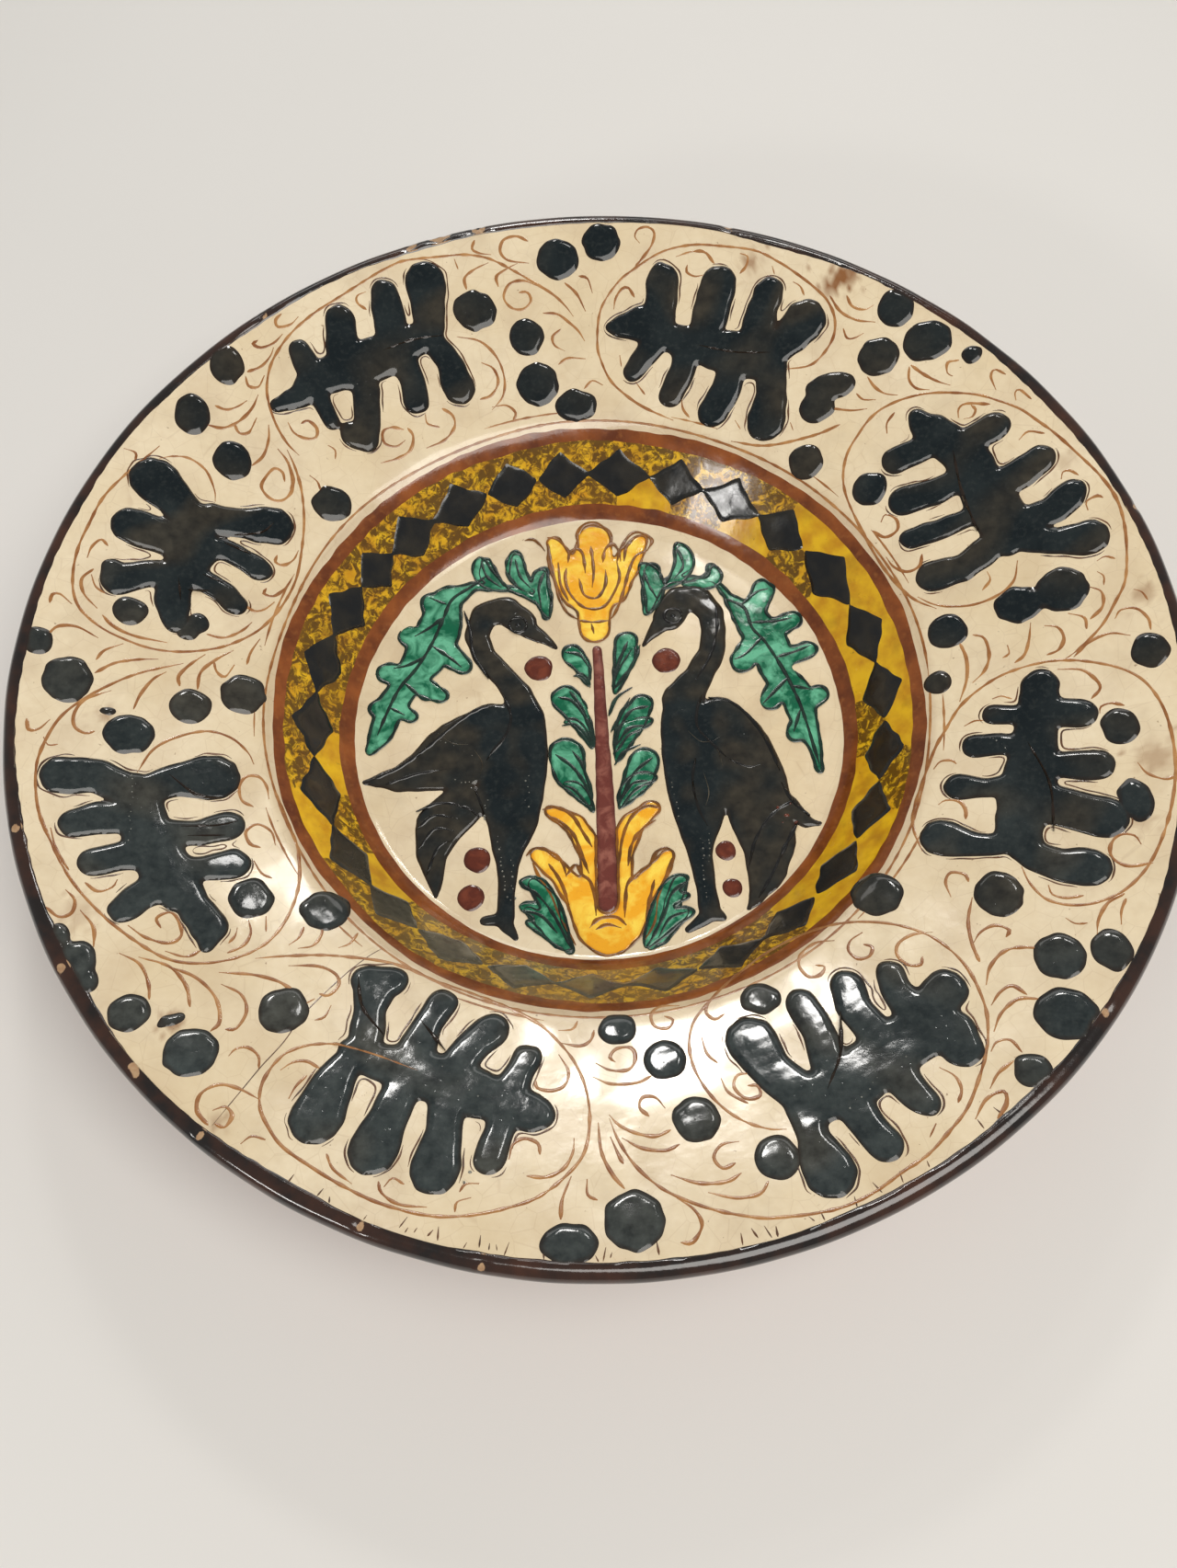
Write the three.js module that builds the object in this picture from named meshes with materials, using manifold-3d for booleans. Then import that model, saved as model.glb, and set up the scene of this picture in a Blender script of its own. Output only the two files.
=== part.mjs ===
// A deep ceramic dish: a thrown clay body, a cream slip ground, two brown rings, a yellow well wall with a
// chain of dark diamonds, and thick trailed glaze on top: eight lobed leaves and round dots on the rim, and
// two birds, two tulips and green sprays in the well. Millimetres, +Z up; the origin is on the table plane,
// under the middle of the foot. Looking down, the tulips stand along Y and leaf 1 is right of the top.
import * as THREE from "three";
import { mergeVertices } from "three/addons/utils/BufferGeometryUtils.js";
import Module from "manifold-3d";

const wasm = await Module();
wasm.setup();

// Radii of the painted face, from the middle outwards.
const FLOOR_R = 80.4; // cream medallion
const FLOOR_RING_R = 84.4; // brown ring round the medallion
const WALL_R = 99; // yellow band on the well wall
const WELL_R = 102.2; // brown ring at the mouth of the well
const CREAM_R = 171.5; // cream ground of the rim

// Heights of the painted face above the table.
const FLOOR_Z = 11.5;
const WELL_Z = 36.4;
const CREAM_Z = 60.6;

// The clay under the painted face.
const SLIP = 0.4; // thickness of the slip coats
const GAP = 0.1; // left between one coat and the next
const CLAY_RIM = 5.6; // from the painted face to the underside of the rim, square to it
const CLAY_WALL = 7; // the same through the well wall
const SLAB_Z = 4; // underside of the floor
const FOOT_INNER_R = 57;
const FOOT_OUTER_R = 67;
const FOOT_EDGE = 1; // rounding at the bottom of the foot

// The rounded lip and its dark glaze.
const LIP = 3.25;
const LIP_GLAZE = 0.8;
const LIP_STEPS = 6;

// Glaze laid on the painted face.
const RAISED = 1.2; // leaves, dots and birds
const FLAT = 0.5; // flowers, greenery and diamonds
const DIAMOND_R = [86.3, 91.7, 97.2]; // inner corner, tips and outer corner
const DIAMOND_LAP = 0.3; // degrees by which neighbouring tips run into each other

const FACETS = 60; // sides of everything turned on the wheel
const ARC_STEPS = 3; // half the straight pieces in a rounded glaze end
const DOT_STEPS = 6; // half the sides of a dot

const FACE = [
  [0, FLOOR_Z],
  [FLOOR_R, FLOOR_Z],
  [WELL_R, WELL_Z],
  [CREAM_R, CREAM_Z],
];
const RIM_TILT = Math.atan2(CREAM_Z - WELL_Z, CREAM_R - WELL_R);
const WALL_TILT = Math.atan2(WELL_Z - FLOOR_Z, WELL_R - FLOOR_R);

// Trailed glaze is written as strokes. A stroke is a row of round nib marks [x, y, radius], and the glaze
// fills the space between each mark and the next. The first stroke of a leaf is its spine.
const RIM_LEAVES = [
  [
    [
      [11, 135, 1.4], [15, 135, 3.6], [23.5, 135.5, 6.2], [31, 130, 4.4],
      [41, 126, 5.6], [51, 122.5, 7], [61, 119, 7], [65.5, 114.5, 4.5],
    ],
    [[29.5, 154, 1.8], [30, 149.5, 5.4], [28.5, 137.5, 5]],
    [[49, 146, 6], [45, 134, 6]],
    [[66, 141, 4.7], [63, 134.5, 5], [60.5, 127, 5.5]],
    [[77, 129, 7.2], [72, 124, 5.6], [65, 120, 5]],
    [[18, 119.5, 3.2], [22.5, 124.5, 3.6], [26.5, 129, 4.5]],
    [[30.5, 110.5, 3.9], [34.5, 117, 4.1], [37, 124, 4.2]],
    [[44.5, 103, 4.9], [49.5, 110, 4.8], [52, 117, 4.5]],
    [[62, 97, 6.3], [64.5, 106, 4.8], [65, 114, 4.7]],
  ],
  [
    [
      [110, 89, 2.3], [111.5, 86, 3.8], [115, 82, 5.6], [121, 75, 6], [125, 68.5, 6.5],
      [126.5, 61.5, 6.5], [129.5, 53, 7.5], [132.5, 45, 7.5], [132, 39, 4.6],
    ],
    [[102.5, 75.5, 4.5], [113.5, 78, 3.9]],
    [[103.5, 61, 4.9], [112, 61.5, 4.3], [119.5, 63.5, 4.2]],
    [[104.5, 47.5, 3.4], [113.5, 48.5, 3.3], [122, 50.5, 3]],
    [[109.5, 33, 5.2], [118, 33.5, 4.3], [126, 38, 4.6]],
    [[133, 79.5, 4.9], [126, 77, 4.2]],
    [[145, 65, 4.5], [138, 61, 5], [130.5, 59, 5]],
    [[152.5, 51.5, 3.9], [150, 49, 5], [146, 46.5, 4.4], [138, 45, 4.5]],
    [[154.5, 34.5, 5.9], [146, 35.5, 4], [137.5, 39, 4.6]],
  ],
  [
    [
      [133.5, -11.5, 5.1], [132, -19.5, 5.4], [129.5, -27, 5.6], [127.5, -35, 6.6],
      [125, -42.5, 7.2], [122, -50, 6.8], [119, -58, 6], [119.5, -64, 4.5],
    ],
    [[119.5, -18.5, 3.1], [126.5, -20, 2.8]],
    [[113, -28, 3.7], [119, -28.5, 3.3], [124, -30, 3]],
    [[106, -40.5, 4.1], [113.5, -42.5, 2.9], [119.5, -42.5, 3]],
    [[98.5, -56.5, 5.8], [105.5, -60, 3.8], [112.5, -61.5, 3], [118, -60, 4]],
    [[142.5, -23.5, 4.4], [135.5, -21.5, 4.6]],
    [[143, -41, 4.8], [133.5, -39, 4]],
    [[141.5, -58, 6.3], [134, -54, 6], [126.5, -49.5, 6]],
    [[134, -72.5, 5.9], [128, -71, 5], [121, -66.5, 4.2]],
  ],
  [
    [
      [49, -134, 5.6], [56.5, -130, 7.4], [65.5, -125.5, 7.5],
      [75, -119, 7.6], [83, -115, 7], [89.5, -116, 5.6],
    ],
    [[37, -114, 7], [40.5, -122, 5.5], [48.5, -131, 5.6]],
    [[52, -104, 4.3], [55.5, -113.5, 4.2], [56.5, -122, 4.6]],
    [[65, -99.5, 4.3], [66, -107, 4.8], [70, -114.5, 4.6]],
    [[77, -97.5, 3.7], [78, -103, 4], [81.5, -110, 5]],
    [[90.5, -104, 5.8], [85.5, -110.5, 5]],
    [[91, -121, 5.5], [90, -115.5, 5.5]],
    [[79, -135, 3.8], [75.5, -130.5, 4.4], [73, -125.5, 5.2]],
    [[67, -145.5, 4.5], [63, -139, 4.4], [60, -132.5, 5]],
    [[52, -151.5, 6.7], [49.5, -143, 4], [48.5, -136.5, 4.2]],
  ],
  [
    [
      [-73, -111.5, 2.6], [-66.5, -115, 4.6], [-57.5, -118, 6.4], [-49, -121, 6.8],
      [-39.5, -125, 6.8], [-30.5, -128.5, 5.4], [-23.5, -131.5, 5.3], [-20.5, -132.5, 3],
    ],
    [[-69.5, -91, 4.2], [-62.5, -91.5, 4.4]],
    [[-67, -93, 5.8], [-68, -100, 4.1], [-68.5, -108, 4.6]],
    [[-48.5, -98.5, 4.3], [-52, -104.5, 3.7], [-54.5, -111.5, 5]],
    [[-34.5, -107, 5], [-38.5, -110.5, 4.6], [-43, -116, 4.6]],
    [[-24.5, -115.5, 3.7], [-26.5, -119.5, 3.6], [-29.5, -125, 4.5]],
    [[-79.5, -131.5, 6.9], [-76, -121.5, 5.4], [-72.5, -115, 3.8]],
    [[-64.5, -140.5, 6.2], [-61, -131, 4.8], [-58, -123.5, 5]],
    [[-48.5, -146, 6.3], [-46.5, -136, 4.4], [-46, -128, 4.8]],
    [[-34.5, -143.5, 4.2], [-32.5, -137.5, 3.7], [-30.5, -131, 4]],
  ],
  [
    [
      [-137, -30.5, 3.2], [-135.5, -36.5, 5.4], [-133.5, -45, 6.4],
      [-129.5, -52.5, 6.6], [-125, -60, 7], [-122, -66.5, 4.6],
    ],
    [[-156.5, -30, 5.9], [-148, -29, 5.2], [-139.5, -33, 4.8]],
    [[-117, -26.5, 7.5], [-125.5, -28, 5.3], [-134, -32, 4.6]],
    [[-151.5, -45, 4.3], [-146.5, -43, 4.9], [-139.5, -42, 5]],
    [[-145, -57, 4.3], [-138, -54.5, 4.4], [-132.5, -53, 5]],
    [[-135.5, -71, 4.1], [-132.5, -67, 4.2], [-126.5, -63, 5]],
    [[-111.5, -42.5, 4.6], [-119, -45.5, 3.9], [-128, -46.5, 4.2]],
    [[-109, -55, 4.7], [-116.5, -57, 3.6], [-123.5, -58.5, 4]],
    [[-113, -82, 1.4], [-113, -75.5, 4.8], [-118, -69, 4.3], [-122, -63, 5]],
  ],
  [
    [[-127.5, 60.5, 6], [-127.5, 52, 7.6], [-129, 44.5, 5.6]],
    [[-139, 74, 7.5], [-131.5, 66.5, 5.4], [-127, 61, 5.5]],
    [[-103.5, 63, 6.4], [-114, 62.5, 4.7], [-123, 63, 5]],
    [[-145, 57, 6.1], [-137.5, 55, 5.9], [-130, 53, 6]],
    [[-107, 47, 3.5], [-112.5, 50.5, 3.6], [-118.5, 53, 3.4], [-124.5, 52, 4]],
    [[-114, 34, 3.5], [-118.5, 38.5, 3.4], [-126, 42, 3.8]],
    [[-131, 25.5, 3.6], [-132.5, 32.5, 4.9], [-132, 40, 5]],
    [[-150, 42, 2.6], [-148, 37.5, 4.7], [-142.5, 40.5, 4.4], [-135.5, 42, 4.2]],
  ],
  [
    [
      [-102, 105, 2.2], [-94.5, 109, 3.5], [-90.5, 114.5, 5], [-83.5, 118, 6],
      [-77, 121, 7.6], [-69, 124.5, 7.2], [-60, 129, 5.4], [-52, 133.5, 4.6],
    ],
    [[-94.5, 125, 3.4], [-91.5, 118.5, 4.2]],
    [[-81, 137, 4.7], [-80.5, 125.5, 5.2]],
    [[-66, 147, 4.3], [-65, 140.5, 5.3], [-64, 133.5, 5]],
    [[-52, 151.5, 6.8], [-51.5, 144.5, 5.6], [-51, 136, 4.8]],
    [[-42, 115.5, 5.3], [-45, 124.5, 4.1], [-50, 131, 3.7]],
    [[-56.5, 110.5, 4.2], [-57.5, 117.5, 3.9], [-60.5, 124.5, 4.2]],
    [[-77.5, 97.5, 4.3], [-73.5, 96, 3.9], [-73, 106, 4.1], [-73, 114, 4.2]],
    [[-84.5, 101, 2.4], [-87.5, 107, 2.8], [-88.5, 111, 3]],
  ],
];

// Rim dots clockwise from the top. Each is one or two ellipses [x, y, radius along X, radius along Y].
const RIM_DOTS = [
  [[9.5, 164, 6.8, 6.6]],
  [[100, 112, 7, 6.8]],
  [[84, 105, 8.5, 5], [79, 99, 6, 5.5]],
  [[74, 81, 5.8, 6.2]],
  [[93.5, 67.5, 5.8, 5.8]],
  [[145, 19, 7.5, 7.8], [132, 17, 7, 6.5]],
  [[111, 13, 6, 6.2]],
  [[110, -77, 6.5, 7.5]],
  [[121, -98, 6.8, 7]],
  [[13, -118, 6.2, 6]],
  [[20, -135.5, 6.5, 6.5]],
  [[2, -161, 8, 8]],
  [[-91, -100.5, 6.8, 7]],
  [[-113, -113, 7.2, 7]],
  [[-141, -14.5, 7.2, 6.8]],
  [[-159, 2, 7, 8]],
  [[-116, 84, 6.2, 7]],
  [[-85, 73, 6.5, 6.2]],
  [[-35.5, 142, 7.8, 7]],
  [[-18, 133, 6.2, 6.5]],
  [[-15, 117, 7.5, 7.5]],
  [[-2, 109.5, 7.5, 5.5]],
  [[-6, 159, 7.5, 7.2]],
];

// The diamonds on the well wall were set out by eye: the angles where their tips meet, anticlockwise from +X.
const DIAMOND_TIPS = [
  7.3, 21.5, 38, 50.5, 64, 76, 89.5, 100.5, 112, 125.3, 137.2, 147, 159.8, 173.3,
  187.8, 203.5, 218.3, 231, 246, 259.5, 272.5, 286, 299.5, 313, 327.3, 340.5, 354.3,
];

// Neck and head, beak, body, wing, tail, leg and the two toes.
const BIRD_LEFT = [
  [
    [-24, 40.5, 5], [-30, 46, 5.5], [-37, 44.5, 4.8], [-40, 36, 4.1],
    [-37, 27.5, 4], [-31, 20, 4.1], [-26, 12.5, 4.8], [-24, 2.5, 6.8],
  ],
  [[-22, 37.5, 3.5], [-16, 33, 1.8], [-12.5, 29.5, 0.6]],
  [
    [-25, 2.5, 7.8], [-27.5, -10, 10.6], [-29.5, -22.5, 11],
    [-29, -32.5, 8.2], [-30.5, -41, 5.5], [-31, -47.5, 3.4],
  ],
  [[-35, 2, 8.2], [-46, -8, 12.5], [-56, -13, 7.8], [-65, -16, 4.8], [-71, -16, 2.8], [-77, -17, 1]],
  [[-45, -26, 7.5], [-52.5, -33, 8], [-55, -42.5, 5], [-54, -51, 2.8], [-53.5, -57.5, 0.8]],
  [[-31, -47.5, 3.5], [-31.5, -57.5, 2.6], [-32, -65, 3]],
  [[-32.5, -65.5, 2.5], [-39, -66, 1.6]],
  [[-32, -67.5, 2.5], [-29, -72, 1.4]],
];

// Neck and head, beak, body, folded wing, tail tip, leg and the two toes.
const BIRD_RIGHT = [
  [
    [26, 40, 5.5], [30, 46.5, 5.4], [36, 47, 5.2], [40.5, 41, 4.5],
    [41, 34, 4.2], [39.5, 25, 4.4], [34, 16, 5], [28, 7.5, 6.8],
  ],
  [[23, 37, 3.2], [19.5, 33, 1.6], [16.5, 29, 0.6]],
  [
    [29.5, 0, 9], [31, -12.5, 10.8], [31.5, -25, 10.5],
    [30.5, -35, 7.5], [30, -42.5, 5], [30, -47.5, 3.8],
  ],
  [
    [40, 0, 8.5], [45.5, -10, 10.5], [49, -22.5, 11], [50.5, -35, 10.5],
    [52, -45, 8.5], [50.5, -54, 6.2], [48, -60.5, 3.5], [43.5, -66.5, 1],
  ],
  [[59, -32, 4], [64.5, -38, 2.2], [69, -39, 1]],
  [[30, -47.5, 3.8], [31, -57.5, 3.2], [31.5, -65, 3.4]],
  [[30.5, -68, 2.5], [24.5, -72, 1.4]],
  [[32.5, -67, 2.8], [35.5, -68.5, 1.5]],
];

// Left, right and middle petals, and the knob they grow from.
const TULIP_TOP = [
  [[-12, 72, 2.8], [-9.5, 62.5, 4.8], [-5, 51, 5.5]],
  [[18, 71, 2.8], [13, 62.5, 4.8], [7, 51, 5.5]],
  [[2, 73, 5.8], [1, 62.5, 7.5], [0.5, 50, 8.5], [0.5, 45, 5.8]],
  [[0.5, 45, 5.8], [0.5, 36.5, 5.2]],
];

const FLOWER_STEM = [[[1, 28.5, 1.6], [1, 2.5, 2.1], [1, -22.5, 2.9], [0.5, -47.5, 3.1], [0, -62, 3.2]]];

// The tall pair of petals, the low pair and the cup.
const TULIP_BASE = [
  [[-16.5, -30, 2.1], [-9, -35, 3.5], [-4, -45, 4], [-2.5, -56, 5]],
  [[16, -30.5, 2.5], [9, -36, 3.8], [4.5, -46, 4.2], [3, -56, 5]],
  [[-21, -45, 2.8], [-15, -51, 3.5], [-8, -60, 4.8]],
  [[20, -47, 2.1], [16, -52.5, 3.5], [9.5, -60, 4.8]],
  [[0.5, -64, 13.1], [0, -70.5, 8.6]],
];

// Leaves of the stem, clockwise from the top right.
const STEM_LEAVES = [
  [[[11, 31, 3.9], [10, 24, 3.5], [8, 17, 2], [6, 11.5, 0.8]]],
  [[[15, 7, 3.5], [11, 1, 4.8], [8, -6, 3], [5.5, -13.5, 0.8]]],
  [[[14.5, -14, 4.8], [12, -20, 4.8], [8, -26, 2.5], [6, -29.5, 0.8]]],
  [[[-11, -10, 5.8], [-10, -17.5, 5], [-6.5, -23, 3.2], [-4, -29, 0.8]]],
  [[[-10.5, 10.5, 4.8], [-7, 5, 4], [-4, -2.5, 2], [-2.5, -8, 0.8]]],
  [[[-7.5, 27, 3.8], [-4.5, 23, 3], [-2.5, 17, 0.8]]],
];

// An oak-like leaf, its lobes, the twig over the bird's head and three small leaves on the twig.
const SPRAY_LEFT = [
  [
    [-41, 55.5, 1.6], [-50, 51, 5], [-52.5, 40, 7.5], [-57, 29, 7.5],
    [-63, 20, 5], [-69, 10, 4.8], [-72, 0, 3.8], [-75.5, -5.5, 1.6],
  ],
  [[-55.5, 50, 3.5], [-52, 44, 5]],
  [[-63, 37.5, 3.8], [-56, 34, 4.4]],
  [[-70, 23.5, 3.8], [-64, 21, 3.8]],
  [[-72.5, 10, 3.5], [-69, 10, 3.5]],
  [[-44.5, 24.5, 3], [-50, 30, 4.4]],
  [[-52, 13.5, 2.5], [-59, 18, 3.8]],
  [[-62, 6.5, 2.2], [-67, 10, 3.1]],
  [[-41, 56, 1.6], [-35, 55, 1.1], [-27.5, 54.5, 1], [-20, 50, 1.4], [-16, 47.5, 2]],
  [[-17.5, 59, 2.6], [-16.5, 50, 3], [-15.5, 42, 1.1]],
  [[-25.5, 66.5, 1.9], [-25, 60, 3.2], [-22.5, 54, 1.8]],
  [[-36, 65.5, 1.8], [-35.5, 60, 3.2], [-31, 54.5, 1.2]],
];
const SPRAY_RIGHT = [
  [
    [47, 47, 1.4], [54, 37.5, 5.6], [59, 27.5, 6.9], [61, 16, 5],
    [66, 9, 5.5], [68, -2.5, 4.2], [70.5, -12.5, 1.9], [71, -20.5, 1],
  ],
  [[59.5, 49, 3.8], [55, 40, 3.8]],
  [[68, 36, 3.2], [60.5, 33, 3.8]],
  [[72.5, 24.5, 2.8], [64.5, 22, 3.5]],
  [[49.5, 21, 4], [55, 29, 4.4]],
  [[57.5, 6, 3.5], [62, 12.5, 3.8]],
  [[74, 7.5, 3.2], [69, 5, 3.8]],
  [[65, -6, 3.5], [67.5, -3, 3.5]],
  [[49, 45.5, 1.2], [46, 48.5, 1.1], [42.5, 54, 1.1], [35, 54.6, 1], [27.5, 54.6, 1.1], [21, 50.5, 2]],
  [[21.5, 59, 2.7], [21, 51, 3.2], [18.5, 42, 1.2]],
  [[32, 67, 1.5], [33, 61, 3.1], [29.5, 56.5, 1.8]],
  [[42, 59, 1.5], [43, 55.5, 2.5], [39, 54.5, 1.1]],
];

const BASE_LEAF_LEFT = [
  [[-23, -54.5, 1.9], [-18.5, -60, 3], [-17.5, -68, 3], [-12.5, -76.5, 1.5]],
  [[-25, -63, 1.4], [-20.5, -66.5, 2.6], [-15.5, -73.5, 2.4]],
];
const BASE_LEAF_RIGHT = [
  [[23, -56, 2.4], [20, -63, 2.6], [17.5, -71, 2.2], [12.5, -76.8, 1.4]],
  [[24, -65.5, 1.3], [20.5, -69, 2.1], [15.5, -74.5, 2]],
];

// Red-brown spots beside the birds, clockwise from the top right: [x, y, radius].
const RED_DOTS = [
  [24, 23, 4.9],
  [39.2, -59, 3.3],
  [38.2, -46.5, 3.4],
  [-42.8, -58, 4.4],
  [-40.5, -45.5, 4.4],
  [-19, 22.5, 4.9],
];

const COLOURS = {
  clay: [0xb06f4a, 0.85],
  cream: [0xecd6b4, 0.3],
  brown: [0x783c23, 0.3],
  yellow: [0xc8962c, 0.3],
  dark: [0x282d32, 0.2],
  lip: [0x3c2d23, 0.25],
  green: [0x32826a, 0.3],
  orange: [0xf0aa32, 0.3],
  stem: [0x783c32, 0.3],
  red: [0x6e3c2d, 0.3],
};

function finish(name) {
  const [color, roughness] = COLOURS[name];
  return new THREE.MeshStandardMaterial({ color, roughness, metalness: 0 });
}

function solidOf(geometry) {
  geometry.deleteAttribute("normal");
  geometry.deleteAttribute("uv");
  const merged = mergeVertices(geometry, 1e-4);
  return new wasm.Manifold(
    new wasm.Mesh({
      numProp: 3,
      vertProperties: new Float32Array(merged.attributes.position.array),
      triVerts: new Uint32Array(merged.index.array),
    }),
  );
}

function meshOf(name, solid, colour) {
  const { vertProperties, triVerts } = solid.getMesh();
  const geometry = new THREE.BufferGeometry();
  geometry.setAttribute("position", new THREE.BufferAttribute(vertProperties, 3));
  geometry.setIndex(new THREE.BufferAttribute(triVerts, 1));
  geometry.computeVertexNormals();
  const mesh = new THREE.Mesh(geometry, finish(colour));
  mesh.name = name;
  return mesh;
}

// Turns a profile of [radius, height] pairs about the Z axis.
function turned(profile) {
  const points = profile.map(([radius, height]) => new THREE.Vector2(radius, height));
  const geometry = new THREE.LatheGeometry(points, FACETS);
  geometry.rotateX(Math.PI / 2);
  return solidOf(geometry);
}

function faceHeight(radius) {
  const outer = Math.max(1, FACE.findIndex(([faceRadius]) => faceRadius >= radius));
  const [r0, z0] = FACE[outer - 1];
  const [r1, z1] = FACE[outer];
  return z0 + ((z1 - z0) * (radius - r0)) / (r1 - r0);
}

// A coat that follows the painted face between two radii, with its top this far above the face.
function coat(inner, outer, top, thickness) {
  const corners = FACE.map(([radius]) => radius).filter((radius) => radius > inner && radius < outer);
  const radii = [inner, ...corners, outer];
  const under = radii.map((radius) => [radius, faceHeight(radius) + top - thickness]);
  const over = radii.map((radius) => [radius, faceHeight(radius) + top]).reverse();
  const closing = inner > 0 ? [under[0]] : [];
  return turned([...under, ...over, ...closing]);
}

function slip(inner, outer) {
  return coat(inner > 0 ? inner + GAP / 2 : 0, outer - GAP / 2, 0, SLIP);
}

// A point this deep under the painted face, square to a stretch of the given tilt.
function below(radius, tilt, depth) {
  return [radius + depth * Math.sin(tilt), faceHeight(radius) - depth * Math.cos(tilt)];
}

// The arc of the lip, over the top and outwards to the underside.
function lipArc(radius) {
  const [middleR, middleZ] = below(CREAM_R, RIM_TILT, LIP);
  const start = Math.PI / 2 + RIM_TILT;
  return Array.from({ length: LIP_STEPS + 1 }, (_, step) => {
    const angle = start - (Math.PI * step) / LIP_STEPS;
    return [middleR + radius * Math.cos(angle), middleZ + radius * Math.sin(angle)];
  });
}

function clayBody() {
  const bed = SLIP + GAP;
  const knee = below(WELL_R, (RIM_TILT + WALL_TILT) / 2, (CLAY_RIM + CLAY_WALL) / 2);
  const rimUnder = below(CREAM_R, RIM_TILT, CLAY_RIM);
  const heel = below(FLOOR_R, WALL_TILT, CLAY_WALL);
  return turned(
    [
      ...FACE.map(([radius, height]) => [radius, height - bed]),
      ...lipArc(LIP - LIP_GLAZE - GAP),
      rimUnder,
      knee,
      heel,
      [FOOT_OUTER_R + FOOT_EDGE, SLAB_Z],
      [FOOT_OUTER_R, FOOT_EDGE],
      [FOOT_OUTER_R - FOOT_EDGE, 0],
      [FOOT_INNER_R + FOOT_EDGE, 0],
      [FOOT_INNER_R, FOOT_EDGE],
      [FOOT_INNER_R - FOOT_EDGE, SLAB_Z],
      [0, SLAB_Z],
    ].reverse(),
  );
}

function lipGlaze() {
  const outside = lipArc(LIP);
  const inside = lipArc(LIP - LIP_GLAZE).reverse();
  return turned([...outside, ...inside, outside[0]].reverse());
}

// The outline between two nib marks.
function nibPair([ax, ay, ar], [bx, by, br]) {
  const along = Math.atan2(by - ay, bx - ax);
  const lean = Math.acos((ar - br) / Math.hypot(bx - ax, by - ay));
  const shape = new THREE.Shape();
  shape.absarc(ax, ay, ar, along + lean, along - lean + 2 * Math.PI, false);
  shape.absarc(bx, by, br, along - lean, along + lean, false);
  return shape;
}

function ellipse([x, y, alongX, alongY = alongX]) {
  const shape = new THREE.Shape();
  shape.absellipse(x, y, alongX, alongY, 0, 2 * Math.PI, false, 0);
  return shape;
}

function column(shape, curveSegments) {
  const depth = 2 * CREAM_Z;
  return solidOf(new THREE.ExtrudeGeometry(shape, { depth, curveSegments, bevelEnabled: false }));
}

function joined(solids) {
  return solids.reduce((sum, solid) => sum.add(solid));
}

function trailed(strokes) {
  const pairs = strokes.flatMap((marks) => marks.slice(1).map((mark, i) => nibPair(marks[i], mark)));
  return joined(pairs.map((shape) => column(shape, ARC_STEPS)));
}

function widened(strokes, by) {
  return strokes.map((marks) => marks.map(([x, y, radius]) => [x, y, radius + by]));
}

function spots(ellipses) {
  return joined(ellipses.map((one) => column(ellipse(one), DOT_STEPS)));
}

function onCircle(radius, degrees) {
  const angle = THREE.MathUtils.degToRad(degrees);
  return new THREE.Vector2(radius * Math.cos(angle), radius * Math.sin(angle));
}

function diamondChain() {
  const [innerR, tipR, outerR] = DIAMOND_R;
  const diamonds = DIAMOND_TIPS.map((start, i) => {
    const end = i + 1 < DIAMOND_TIPS.length ? DIAMOND_TIPS[i + 1] : DIAMOND_TIPS[0] + 360;
    const middle = (start + end) / 2;
    return new THREE.Shape([
      onCircle(tipR, start - DIAMOND_LAP),
      onCircle(innerR, middle),
      onCircle(tipR, end + DIAMOND_LAP),
      onCircle(outerR, middle),
    ]);
  });
  return joined(diamonds.map((shape) => column(shape, 1)));
}

const edge = 2 * GAP; // kept between glaze and the end of the ground it lies on
const rimGlaze = coat(WELL_R + edge, CREAM_R - edge, GAP + RAISED, RAISED);
const wallGlaze = coat(FLOOR_RING_R + edge, WALL_R - edge, GAP + FLAT, FLAT);
const floorGlaze = coat(0, FLOOR_R - edge, GAP + FLAT, FLAT);
const floorRaised = coat(0, FLOOR_R - edge, GAP + RAISED, RAISED);

function groundMeshes() {
  return [
    meshOf("clay_body", clayBody(), "clay"),
    meshOf("lip_glaze", lipGlaze(), "lip"),
    meshOf("rim_slip", slip(WELL_R, CREAM_R), "cream"),
    meshOf("well_edge_ring", slip(WALL_R, WELL_R), "brown"),
    meshOf("wall_slip", slip(FLOOR_RING_R, WALL_R), "yellow"),
    meshOf("floor_ring", slip(FLOOR_R, FLOOR_RING_R), "brown"),
    meshOf("floor_slip", slip(0, FLOOR_R), "cream"),
    meshOf("wall_diamonds", diamondChain().intersect(wallGlaze), "dark"),
  ];
}

function rimMeshes() {
  return [
    ...RIM_LEAVES.map((strokes, i) =>
      meshOf(`rim_leaf_${i + 1}`, trailed(strokes).intersect(rimGlaze), "dark"),
    ),
    ...RIM_DOTS.map((ellipses, i) =>
      meshOf(`rim_dot_${i + 1}`, spots(ellipses).intersect(rimGlaze), "dark"),
    ),
  ];
}

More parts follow.
